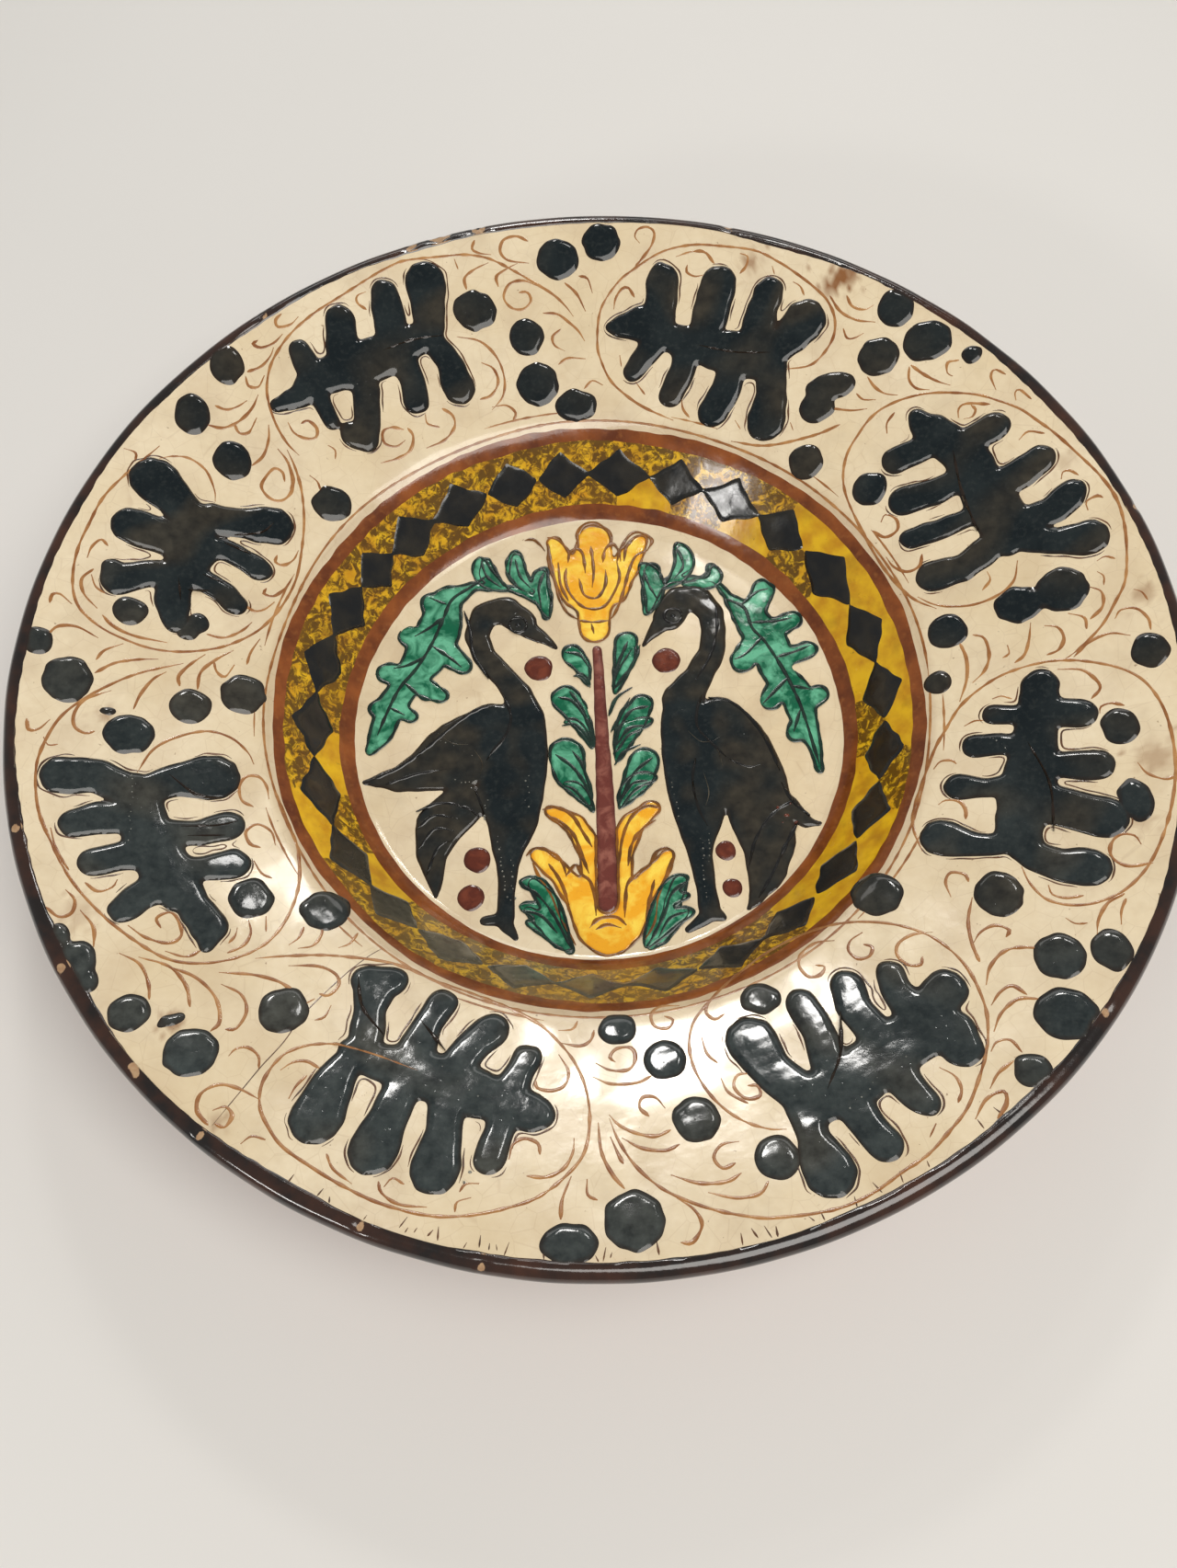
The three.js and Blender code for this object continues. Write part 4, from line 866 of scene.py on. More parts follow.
# Commas and curls that fill the cream between tendrils, leaves and dots.
COMMAS = [
    # about the upper right leaf
    [(12.6, 141), (13.4, 144.6), (15.7, 147.7), (18, 148), (20, 144.6)],
    [(22.8, 162.8), (21.2, 165.2), (22.6, 167.6), (26, 168), (28, 165.8), (26.8, 161.6), (23.2, 157.4),
     (20.8, 155)],
    [(44.2, 149.6), (41, 149.6), (38.4, 151.5), (38.8, 153.8)],
    [(35, 157), (40.3, 158), (45, 157.3), (48, 153)],
    [(57, 155.4), (59.5, 154), (58.8, 150.8), (56.5, 148.5)], [(67.6, 149.5), (68.2, 146.5)],
    [(74.2, 143), (76.5, 141), (77.6, 137.7)], [(13.8, 125.4), (14.2, 121.5)],
    [(18.8, 116), (21.8, 111.5)], [(34.2, 109.2), (34.5, 105.4), (36.5, 102.3)],
    [(51.8, 99.2), (53.4, 96)], [(70, 95.4), (70.7, 92.5)],
    [(50, 92.5), (61.8, 89), (77, 89.5), (86, 91.5)],
    # between the two upper leaves
    [(-29, 161), (-33, 161.5), (-35.5, 163), (-34.5, 166)],
    [(-16, 158), (-23, 159), (-25.8, 162), (-24.5, 166), (-20, 167.3), (-16, 165.5)],
    [(-30, 158.3), (-35, 156), (-38.5, 153), (-38, 149)],
    [(-20, 158), (-24, 156), (-27.5, 153.5), (-27, 150)],
    [(-13, 150), (-18, 152), (-23, 151), (-25.3, 146.5), (-23, 143), (-19, 142.3), (-16, 145), (-17, 148),
     (-20, 148)],
    [(2, 131), (0, 134.5), (-3, 137.5), (-7, 140.5), (-12, 141)], [(2.8, 141), (0, 147), (-4, 151)],
    [(5.5, 147), (4, 152), (1, 153)], [(-5, 128), (-8.5, 130), (-9, 133), (-6, 135.5)],
    [(2, 125), (-4, 125.5), (-7.5, 123.5)], [(7.5, 115.8), (4, 117.5), (1, 115)],
    [(-34, 124.5), (-30, 122.5), (-28.5, 118), (-31, 113.5), (-35, 112)],
    [(-31, 109.5), (-26, 110), (-23, 107.5), (-24, 104.7)],
    # about the upper left leaf
    [(-94.8, 136.5), (-97.5, 133.5), (-101.4, 132.3), (-102.2, 134.6), (-100.2, 137)],
    [(-72.2, 147), (-75.2, 145.4), (-75.2, 143), (-72.2, 140.8)], [(-41.8, 159.6), (-40.6, 156)],
    [(-98.7, 99.6), (-96.8, 96.2), (-93, 94.6), (-89.8, 95.4), (-89.5, 98.5), (-92.2, 100.8),
     (-94.5, 99.6)],
    [(-86, 93), (-83.7, 91.5), (-83.7, 88.5)],
    [(-69, 88.5), (-63, 90.8), (-59, 93.8), (-58, 98.5), (-59.8, 101.2)],
    [(-60.6, 97), (-63.7, 94.6), (-67.5, 95.4), (-68, 99.2), (-65, 101), (-61, 100.5)],
    [(-53.7, 106.2), (-53, 103), (-49, 102)],
    [(-53.7, 94.6), (-47.5, 97.7), (-44, 102.3), (-44.5, 106.2), (-48, 108.5)],
    [(-100, 130), (-103, 126.5), (-107, 124.5), (-109.5, 125.5), (-108, 127)],
    [(-103, 125), (-104, 122), (-107, 118), (-111.5, 115.5)],
    [(-106, 115), (-108, 110.7), (-111, 110.7), (-112, 114)],
    [(-111.5, 105.5), (-114.5, 103), (-118, 101.5), (-121.5, 102.5)],
    [(-108, 108), (-110, 103), (-114, 98), (-119, 95), (-124, 95.5)],
    [(-108.5, 100), (-111, 94.5), (-114, 94), (-115.5, 97)],
    [(-104.8, 98), (-104.8, 93), (-106.5, 87), (-110, 83)],
    [(-102, 90), (-99, 86), (-97.5, 80), (-98, 76)], [(-92, 82), (-89.5, 80), (-88.5, 77)],
    # about the left leaf above
    [(-98.5, 86), (-97, 80), (-98, 75), (-101, 72), (-104.5, 72.5), (-107, 76), (-105.5, 80), (-103, 83),
     (-100.5, 82), (-99.8, 78.8)],
    [(-95.5, 55.5), (-97, 52), (-100, 49.7), (-102.5, 50.5), (-102, 53)],
    [(-98, 44.5), (-100, 41), (-103, 38.4), (-105.8, 39), (-105, 41)],
    [(-102.5, 36.5), (-105.5, 33.5), (-108.5, 32.5), (-111, 34)],
    [(-109, 28.5), (-112, 25), (-117, 22), (-122, 22.5)],
    [(-157, 44), (-156, 48), (-153.5, 51), (-151.5, 49)],
    [(-153, 27), (-157, 31.5), (-158, 36.5), (-155, 40.5)], [(-155.5, 38.5), (-154, 34.5), (-151, 32.5)],
    [(-133, 18), (-142, 19), (-148, 21.5), (-151.5, 25)], [(-148.5, 83.5), (-145, 82.5), (-145, 79.5)],
    [(-106.5, 23), (-109, 18), (-110, 13.5)],
    # between the two left leaves
    [(-160, 27.5), (-163.5, 30.5), (-165.5, 30), (-166, 27)],
    [(-152, 17), (-158, 20), (-163, 19.5), (-165.5, 16.5)], [(-145, 16), (-150, 13), (-152, 9.5)],
    [(-135, 12), (-141, 11), (-147, 9), (-152, 5)], [(-132.5, 8), (-136, 5), (-139, -0.5), (-140.5, -6)],
    [(-122, 15.5), (-126, 11.5), (-129, 7), (-128.5, 3.5)],
    [(-114, 18), (-119, 14), (-123, 9), (-123.5, 3)],
    [(-113.5, 13), (-116, 8.5), (-118.5, 10), (-119.5, 13.5)],
    [(-147, -0.3), (-153.5, -4), (-156, -9), (-155.5, -13.5), (-152.5, -15.5), (-150, -14.5)],
    [(-162, -12), (-164.5, -15.5), (-167, -16), (-168, -12.5)],
    [(-163, -18), (-161.5, -20.5), (-159, -20)],
    # about the left leaf below
    [(-101, -32.5), (-102, -28), (-104.5, -25), (-108, -25.5), (-109.5, -29), (-108.5, -33.5),
     (-105, -35.5)],
    [(-98, -48), (-99.5, -43.5), (-103.5, -41.3), (-106.5, -44), (-105, -48), (-102, -49)],
    [(-103.5, -53.5), (-101, -57.5), (-98, -59)],
    [(-138.5, -62), (-139.5, -64.5), (-143, -66), (-146.5, -63.5)],
    [(-134, -76), (-129, -79.5), (-123, -81), (-120, -78.5), (-121.5, -73.5), (-124, -71.5),
     (-127, -73.5), (-125.5, -76.5)],
    [(-123.5, -83.5), (-118, -85), (-114.5, -83)],
    [(-103, -73), (-102, -77), (-103.5, -81), (-107.5, -83.5)],
    [(-105.7, -75.5), (-106, -78), (-107.5, -80.5)], [(-98.5, -71.5), (-98, -76.5)],
    [(-151, -66), (-148.3, -69), (-148.5, -73), (-151.5, -74.3), (-155, -71.5)],
    [(-146.5, -72), (-142.5, -77), (-141.5, -83)], [(-157.5, -47), (-155, -54), (-151, -60)],
    # between the lower left leaves
    [(-135, -84.5), (-129.5, -87.5), (-126.5, -93), (-125.5, -98)],
    [(-130, -85.5), (-122, -88), (-117, -93.5), (-115, -100)],
    [(-124, -87.5), (-115, -91), (-109, -97), (-107, -104), (-109, -107)],
    [(-108, -93), (-102.5, -96), (-100.5, -101), (-102.5, -106), (-105.3, -106.3)],
    [(-109, -89.5), (-100, -90), (-93, -92), (-88, -95.5)],
    [(-91, -87), (-83, -87), (-78, -89.5), (-77, -93), (-79.5, -96), (-82, -95.5)],
    [(-86, -99), (-83, -97)], [(-78.5, -99), (-80, -102.5), (-82.5, -103.5)],
    [(-103.5, -114), (-102, -112), (-99, -111.5), (-96, -114), (-95.5, -117.5)],
    [(-94.5, -126), (-100, -123), (-105, -122), (-109, -124.5), (-109.3, -129), (-106, -133)],
    [(-105.5, -129), (-102.5, -128), (-100.5, -130.5), (-102, -133.5), (-104.5, -132.5)],
    [(-97.5, -138), (-95, -136), (-91.5, -137)], [(-91.5, -80.5), (-89, -78), (-88, -74.5)],
    [(-89, -81.5), (-85, -80.5), (-83, -77), (-83, -74)], [(-78, -81), (-75, -79.5), (-73, -76)],
    # about the lower left leaf
    [(-90, -118), (-87, -115.8), (-83.5, -115.5), (-80, -117.5)],
    [(-87, -126), (-85.5, -122.5), (-83, -119.5)], [(-69, -149), (-74, -145), (-76, -141)],
    [(-50, -155.5), (-57, -154.5), (-61.5, -151.5), (-62.5, -148.5)],
    [(-61, -150), (-59, -147.8), (-56, -149.5)], [(-37, -150), (-40.5, -150), (-42, -152)],
    [(-39, -153.5), (-42.5, -154.5), (-43, -157)],
    [(-29.5, -144), (-28.5, -140), (-25.5, -138.5), (-22, -140), (-21.5, -143)],
    [(-12.5, -139), (-13, -143), (-15.5, -147), (-20, -149), (-25, -148.5)],
    [(-16, -115), (-13.5, -120), (-14.5, -124), (-18, -125.5), (-22, -124.5), (-22.5, -122)],
    # between the two lower leaves
    [(-16, -107.8), (-12, -107.5), (-10.5, -105)], [(-16, -111.5), (-10, -112.7), (-7, -111), (-6, -108)],
    [(-6, -118), (-2, -120.3), (3, -120.3), (5, -117), (4, -114), (0, -114), (-2, -116.5), (-0.5, -118)],
    [(-7, -122), (-2, -124.3), (5, -124.3), (9, -122.5)],
    [(18.4, -101.8), (13, -101.6), (10.2, -104.2), (11, -107.8), (14.6, -108.6), (16.2, -106.2),
     (13.8, -104.8)],
    [(-3, -133), (-0.5, -136), (4, -138.5), (9, -139.5), (13, -138)],
    [(0, -139.5), (5, -142.5), (11, -143.5), (15, -142)], [(-3, -139), (-1.5, -143), (0, -146.5)],
    [(-6, -135), (-5.5, -143), (-3, -149), (0, -153)], [(-9.5, -150), (-9.5, -154), (-7, -155.5)],
    [(-13.5, -149), (-16, -155), (-16.5, -160)],
    [(12, -132), (9.6, -128.8), (6.2, -128.6), (5.2, -131.4), (7.6, -134)],
    [(12, -150), (19, -152.5), (26, -152.5), (30, -150.5)],
    [(21, -155), (28, -156.8), (34, -156), (36.5, -153)],
    [(30.4, -142.2), (25.8, -142.8), (23.4, -146), (25.4, -149), (28.8, -147.8)],
    [(13, -156), (17, -159), (18.7, -163), (16, -167), (13, -167)],
    [(27.6, -124.4), (29.2, -128.6), (34, -132)],
    [(36.6, -123.6), (32.2, -123.8), (30.8, -127.2), (33.6, -130.6), (37.4, -130), (37, -127.2),
     (34.4, -127)],
    [(23.6, -112), (24.6, -117), (27.2, -120)],
    [(31, -99.6), (27, -101), (25.6, -104.4), (27.8, -106.8), (30.6, -105.4)],
    # about the lower right leaf
    [(64, -85.4), (58.8, -85.4), (54.4, -88.4), (53.1, -92.4), (55.2, -96), (58.4, -95.8), (60, -93.4),
     (57.6, -92.6)],
    [(72, -83.8), (68.3, -86), (67.3, -89.2), (69.4, -91.9), (72.6, -91.5), (73.8, -88.8), (71.6, -87.6)],
    [(90.6, -86.3), (85, -86.4), (80.8, -88.8), (80, -92.4), (82.4, -95.6), (85.6, -95.8), (86.4, -93.4)],
    [(84.4, -126), (87.8, -128.8), (88.6, -132.6), (87, -136)], [(80.5, -141), (78.2, -144.5)],
    [(90.2, -140.7), (94, -135.7), (98.6, -134), (98.6, -137.2), (95.5, -141)],
    # between the two right leaves and the lower right leaf
    [(97.5, -76), (97, -71), (99, -68.2), (102.5, -69.5), (103, -72)],
    [(103, -77), (100.5, -84), (100, -91), (100.8, -97)],
    [(100.5, -91), (103, -88), (107, -86.5), (110.3, -88.5), (109, -90.5)],
    [(101, -104), (103, -99), (107, -95), (111, -94), (116, -94.7)],
    [(101, -110), (104, -106.5), (107.5, -105), (110.5, -108)],
    [(100, -117.5), (103, -112.5), (108, -109), (113, -109.5)],
    [(98, -123), (100, -120.5), (103.5, -120.3), (105.5, -124)],
    [(95.5, -133), (98.5, -129), (103, -126)], [(131.5, -93), (133, -88.5), (136.5, -84), (141, -82)],
    [(125, -87), (127, -89), (130, -89.3)], [(138, -91), (139, -87), (141, -83.5)],
    [(123, -76.3), (123.4, -79.4), (126.5, -81), (131, -81)],
    [(148.5, -68), (147.5, -65), (144, -64), (141, -67), (140.7, -71), (144, -74), (150, -74)],
    [(139, -7.5), (145, -9), (148, -12.5), (149, -16.3), (146, -19.4)],
    [(120, -13.2), (122.6, -12.8), (125.3, -14.4)], [(111, -20.5), (114, -19.4), (116.5, -19.8)],
    [(100.3, -33.2), (102.6, -31), (105.7, -31.3), (106.8, -32.8)],
    [(99.5, -45.5), (101.8, -44.4), (105.3, -45.5), (106.5, -48.6), (106, -51.7)],
    [(153.4, -42.5), (155, -46.3), (158.8, -49), (162, -48.6)],
    [(147.2, -24.8), (148, -22.5), (151, -22), (154, -23.6)], [(111, -12), (114, -5), (115, 2), (114, 8)],
    [(115.5, -6.5), (119.5, -3), (121.5, 2), (121, 8), (118, 10)],
    [(134.5, 10), (133, 4), (131, -0.5), (128, -2.5)],
    [(138, 8), (141.5, 6.5), (142.5, 2.5), (140.5, -1), (137, -2)], [(127, 4), (127, 1), (125, 0)],
    [(145, 10.5), (149, 8), (149, 4)], [(152, 18), (155, 15.5), (154.5, 10.5), (150.5, 7)],
    [(157, 5.5), (159, 8), (163, 7.5), (165.5, 3.5), (165.5, -0.5)],
    [(163.5, 14), (165.5, 12.5), (166.5, 9.5)], [(160, -1), (155, 1), (149, -0.5), (144, -4.5)],
    [(155.5, 26), (158, 27), (160.5, 25.5)], [(155, 22.5), (156.5, 20.5), (156, 17.5)],
    # about the right leaf above
    [(100.5, 85.2), (100.8, 88.7), (103.5, 91.8)],
    [(122.8, 85.2), (123.2, 88.3), (125.8, 89.5), (132.8, 87.5)],
    [(124.3, 84.5), (127, 84.6), (128.2, 86.8), (127, 88.7)],
    [(140.5, 86.8), (140.5, 89.5), (142, 90.2), (145, 86)], [(139.7, 73), (142.8, 75.2), (147.4, 73.3)],
    [(150, 56.4), (150.8, 58.7), (152.8, 58.7), (155, 56.4)],
    [(155.8, 43.7), (155.8, 46.8), (159, 48), (160.5, 46.8)],
    [(95.8, 55.2), (97.4, 57.5), (100.5, 55.2), (100.5, 51.4), (96.6, 49.8), (92.8, 53)],
    [(96.2, 43), (98.2, 39), (102, 36.4), (105.8, 37.5), (107, 41.4)],
    [(125, 30.6), (125.5, 27.5), (122.8, 24.5)], [(100, 124), (94, 126), (89, 130), (86, 136)],
    [(100, 130), (97, 129), (93, 131), (91.5, 135)], [(96, 121), (93, 120), (90.5, 120.5), (89.5, 124)],
    [(105, 97.5), (101, 99), (98, 102), (96, 106)], [(98, 97.5), (94, 98.5), (92, 101)],
    [(95, 95), (90, 95.5), (84, 97.5)], [(115, 97), (111, 98.5), (109, 102), (109.5, 106.5)],
    [(121.5, 97), (117.5, 99.5), (113.5, 103), (110, 107)],
    [(122.5, 100), (121, 101.5), (121.5, 105), (125, 105)],
    [(135, 92), (134, 97), (135.5, 99), (138.5, 96.5)],
]


def strokes(table, width, start, end):
    """Smooth lines through each row of a table, of this width, that taper over these lengths."""
    return [(curve_through(points), width, start, end) for points in table]


# Fine lines drawn on the wheel round the well: radius, width, the level under which one is broken, seed.
WHEEL_LINES = [(104.2, 0.7, -2, 71), (107.4, 0.65, -0.1, 72)]


def scrolls():
    """Tendrils, commas and the two fine lines turned on the wheel just outside the well."""
    lines_piece("tendrils", strokes(TENDRILS, 0.85, 8, 8), SCROLL_LINE, lift=0.13)
    lines_piece("commas", strokes(COMMAS, 0.95, 7, 1.2), SCROLL_LINE, lift=0.13)
    turns = np.linspace(0, TAU, 901)
    circles = []
    for radius, width, gaps, seed in WHEEL_LINES:
        plan = radius * np.stack([np.cos(turns), np.sin(turns)], 1)
        plan += 0.5 * waves(*plan.T, 90, seed)[:, None] * plan / radius
        keep = waves(*plan.T, 40, seed + 5) > gaps
        runs = np.split(np.arange(len(plan)), np.nonzero(np.diff(keep))[0] + 1)
        circles += [(plan[run], width, 6, 6) for run in runs if keep[run[0]] and len(run) > 8]
    lines_piece("wheel_lines", circles, SCROLL_LINE, lift=0.08)


# ---------------------------------------------------------------- the well's painting
def birds():
    """The two raised birds."""
    for side, seed in (("left", 801), ("right", 811)):
        node = f"bird_{side}"
        relief(f"{node}_glaze", shape_of(node), DARK, "dark_glaze", thick=0.7, roll=1.6, step=0.5,
               replaces=[node], extra=ripples(seed, 14, 0.04), paint={"brown": bird_brown},
               wobble=0.1, seed=seed + 5)


# Green brush marks beside those with CAD nodes of their own, as [points, width]: the plumes over the birds,
# the small leaves of the stem and the fringes of the leaves below.
GREEN_BLADES = [
    [[(-38.5, 68), (-37.5, 61), (-33.5, 56.5), (-28, 53.5)], 7],
    [[(-25.6, 70), (-26, 62), (-23, 56), (-19, 51.5)], 7],
    [[(-15.2, 62.5), (-18, 56), (-16.5, 48), (-15, 41)], 6.5],
    [[(17.5, 62), (21, 56), (21.5, 49), (19, 41)], 7.5], [[(31, 70), (33, 62), (30, 55.5), (25, 51)], 7],
    [[(43, 60), (43, 54.5), (38, 52.5), (31, 52.5)], 5.5],
    [[(-12, 1.5), (-8, 1.5), (-4.5, -3), (-2.2, -9)], 2.6],
    [[(-13, -20.5), (-8.5, -21.5), (-5, -26), (-2.6, -32)], 3],
    [[(18.5, 1), (13, -0.5), (8, -3), (4.6, -11)], 5],
    [[(18.5, -20), (12.5, -20.5), (8, -24), (5, -31)], 5], [[(15, 30), (12, 24), (8, 18), (5, 12)], 3.4],
    [[(-7.5, 19), (-4.5, 18.5), (-1.8, 13.5)], 2],
    [[(-27.5, -53.5), (-22, -55), (-18, -62), (-14, -72), (-11.5, -77)], 6.5],
    [[(-28, -61.5), (-22, -63.5), (-17, -70), (-12, -77)], 5.5],
    [[(-26, -66.5), (-20, -70), (-13, -77.5)], 3.5],
    [[(26, -54.5), (21, -57), (17, -64), (13, -72), (10.5, -77.5)], 6.5],
    [[(27, -66), (20.5, -67.5), (15, -72.5), (11, -77.5)], 5.5],
    [[(26, -60.5), (20.5, -62), (16.5, -67)], 3.5],
]


def wash_pool(node, material, slot, thick, seed, edge_seed, step=0.5, **cut):
    """A pool of translucent glaze in place of a CAD node. The seeds draw its swells and its edge."""
    relief(f"{node}_glaze", shape_of(node), material, slot, thick, roll=1.0, step=step, replaces=[node],
           extra=ripples(seed, 8, 0.03), seed=edge_seed, **cut)


def outlined(node, line, width, lift, breaks, seed):
    """The dark line, broken in a few places, that was drawn round such a pool."""
    edge = edge_lines(shape_of(node), level=0.1, step=0.5, width=width, breaks=breaks, gaps=-1.4,
                      soften=2, wobble=0.15, seed=seed)
    lines_piece(f"{node}_outline", edge, line, lift, base=0.3)


def washes():
    """The green leaves, the tulips, their stem and the red-brown spots."""
    greens = [f"stem_leaf_{i}" for i in range(1, 7)]
    greens += ["base_leaf_left", "base_leaf_right", "spray_left", "spray_right"]
    for index, node in enumerate(greens):
        wash_pool(node, GREEN, "green_glaze", thick=0.32, seed=820 + index, edge_seed=840 + index,
                  soften=2, wobble=0.1)
        outlined(node, GREEN_LINE, width=1.1, lift=0.55, breaks=860 + index, seed=880 + index)
    blades = shape_of_blades(GREEN_BLADES)
    relief("green_blades_glaze", blades, GREEN, "green_glaze", thick=0.42, roll=1.0, step=0.4,
           extra=ripples(831, 8, 0.03), soften=1)
    edge = edge_lines(blades, level=0.1, step=0.4, width=0.95, breaks=871, gaps=-1.6, soften=1)
    lines_piece("green_blades_outline", edge, GREEN_LINE, lift=0.62, base=0.38)
    for index, node in enumerate(["tulip_top", "tulip_base"]):
        wash_pool(node, ORANGE, "orange_glaze", thick=0.32, seed=900 + index, edge_seed=910 + index,
                  soften=2, wobble=0.1)
        outlined(node, OCHRE_LINE, width=0.9, lift=0.5, breaks=920 + index, seed=930 + index)
    wash_pool("flower_stem", PLUM, "stem_glaze", thick=0.36, seed=940, edge_seed=941, soften=2, wobble=0.1)
    for index in range(1, 7):
        wash_pool(f"red_dot_{index}", RED, "red_glaze", thick=0.3, seed=950 + index, edge_seed=960 + index,
                  step=0.45, wobble=0.15)


# Lines over the two tulips: petals, curled tips, and the knob or cup at the bottom.
TULIP_LINES = [
    # upper tulip
    [(-22.5, 73.7), (-19.5, 74), (-17, 71.5), (-15.5, 69)],
    [(-14.5, 74.5), (-11, 73.5), (-8, 69.5), (-7, 66)],
    [(-14.3, 72), (-13.8, 65), (-12.5, 57.5), (-11.3, 50), (-8.8, 43.8), (-5, 40.5)],
    [(-7, 67.5), (-3.8, 70.3), (-3.9, 75.5), (-1.3, 78.8), (3.1, 79.2), (7.3, 76), (8, 72), (6.5, 69.5)],
    [(-4, 57), (-2.5, 50.3), (1.9, 48.8), (5, 53.8), (5.4, 60)],
    [(-8.2, 61.5), (-8.8, 57), (-7.5, 51.3), (-3.8, 46), (0, 44.4), (3.8, 45), (6.9, 48.8), (10, 56),
     (9.5, 63)],
    [(9.5, 63), (11, 68), (13.5, 72.5), (16, 74.8), (19, 74.4), (22.3, 71.3), (20.5, 67.2)],
    [(20.5, 67.2), (16.3, 65), (13.8, 60), (11.9, 53.8), (10, 47.5), (7.5, 42), (5.6, 39.6)],
    [(15.5, 71.5), (13, 68.5), (12, 63)], [(-5, 40.2), (0, 39.2), (5.8, 39.6)], [(-0.6, 39), (0.2, 34.5)],
    [(-11, 64), (-10.5, 55), (-8, 48)], [(0.7, 70), (1.2, 60), (0.4, 53)],
    [(-7.6, 63.5), (-6.8, 67.6), (-4.2, 69.2), (-2.2, 66.5), (-1.7, 59)],
    [(4.6, 63), (5.6, 68.2), (8.4, 70.4), (10.4, 67.4), (10.8, 63)],
    # lower tulip
    [(-19.4, -29.4), (-15, -28.8), (-10, -31.9), (-6.9, -37.5), (-4, -43)],
    [(-17, -32), (-13, -34.5), (-9.5, -39), (-7.3, -46), (-5.4, -52)],
    [(18.8, -30.8), (13.8, -30), (8.8, -33.8), (5.6, -41), (4.4, -48.8)],
    [(16.8, -34.8), (12, -38), (8.5, -43), (7, -50)],
    [(-25, -45), (-21.9, -42.6), (-17.5, -43.8), (-13.8, -47.5), (-12.5, -52.8)],
    [(-12.8, -52.5), (-9.4, -48.8), (-7.8, -52), (-5.2, -54.5), (-4, -60), (-3.8, -66)],
    [(21.5, -46), (19.6, -44.6), (16.3, -45.8), (13.8, -50), (10, -52.5), (6.5, -56), (5.6, -61),
     (5, -67)],
    [(-6, -69.8), (-3.8, -67.4), (-0.5, -66.5), (3, -67), (5.4, -69.5)],
    [(-4.2, -70.4), (-0.5, -69), (3.8, -70.3)],
    [(-23, -47.5), (-21, -52.5), (-17.5, -58.8), (-15, -66), (-10.5, -75)],
    [(21, -48), (18.8, -53.8), (16, -60), (14.2, -68.8), (10.5, -75)],
    [(-18, -48), (-14.5, -54), (-12, -62)], [(15, -55), (13, -62), (11.5, -68)],
]

# Veins of the green leaves and the thin green curls beside the stem.
VEINS = [
    [(-36, 60), (-41, 56), (-48, 51), (-51, 44), (-55, 34), (-60, 25), (-66, 17), (-70, 8), (-73, 0)],
    [(-51, 44), (-56, 40), (-61, 37)], [(-57, 29), (-63, 26), (-68, 25)],
    [(-55, 33), (-49, 28), (-45, 24)], [(-64, 19), (-58, 13), (-53, 12)], [(-69, 10), (-64, 7)],
    [(-50, 49), (-56, 52)], [(-38, 66), (-36, 59.5), (-31, 54.8)], [(-26, 66), (-24.5, 59), (-21, 54)],
    [(-16, 60.5), (-18, 54), (-17.5, 46)],
    [(46, 46), (52, 42), (54, 34), (58, 28), (63, 17), (66, 8), (68, 0), (70, -12), (71, -18)],
    [(54, 36), (62, 36), (68, 37)], [(57, 30), (51, 24), (47, 22)], [(61, 22), (68, 24), (73, 26)],
    [(64, 14), (58, 8), (55, 5)], [(65, 11), (72, 9)], [(51, 43), (57, 48), (61, 49)],
    [(67, 2), (64, -6)], [(18.5, 59), (20, 53), (23, 46)], [(31, 67), (32.5, 60), (29, 55)],
    [(42, 58), (40, 55), (35, 54.5)], [(-10, 28), (-5, 26.5), (-1.8, 21)],
    [(-13, 11), (-8, 9), (-4, 2.5), (-1.8, -6)], [(-9, 13), (-6, 8), (-3.5, 3)],
    [(-14.5, -10), (-9, -15), (-5, -22), (-3, -29)], [(-9, -9), (-6, -14), (-4.5, -20)],
    [(11.5, 31), (8, 23), (5.2, 14)], [(17, 6), (11, 4.5), (7, -2), (4.4, -11)],
    [(16, -1), (10, -2), (5.6, -8)], [(17, -13), (11, -18), (7, -25), (5, -30)],
    [(15, -21), (10, -22), (6.5, -27)], [(-12, 0.3), (-8, 0.6), (-4.5, -3), (-2.6, -8)],
    [(-7.5, 18.6), (-4.4, 18.4), (-2, 14)], [(3.6, 3), (6.5, 9.5), (12, 13.4)],
    [(4, -3), (7, 2), (11, 9.5)], [(4.6, -15), (8, -10.5), (13.5, -8)],
    [(6, 13), (9.5, 17.5), (13.8, 24), (15.6, 29.5)], [(-27, -55), (-22, -58), (-17, -65), (-12, -76)],
    [(-27, -63), (-21, -65), (-16, -71)], [(25, -56), (20, -60), (17, -67), (12, -76)],
    [(25, -66), (19, -68), (15, -74)],
]

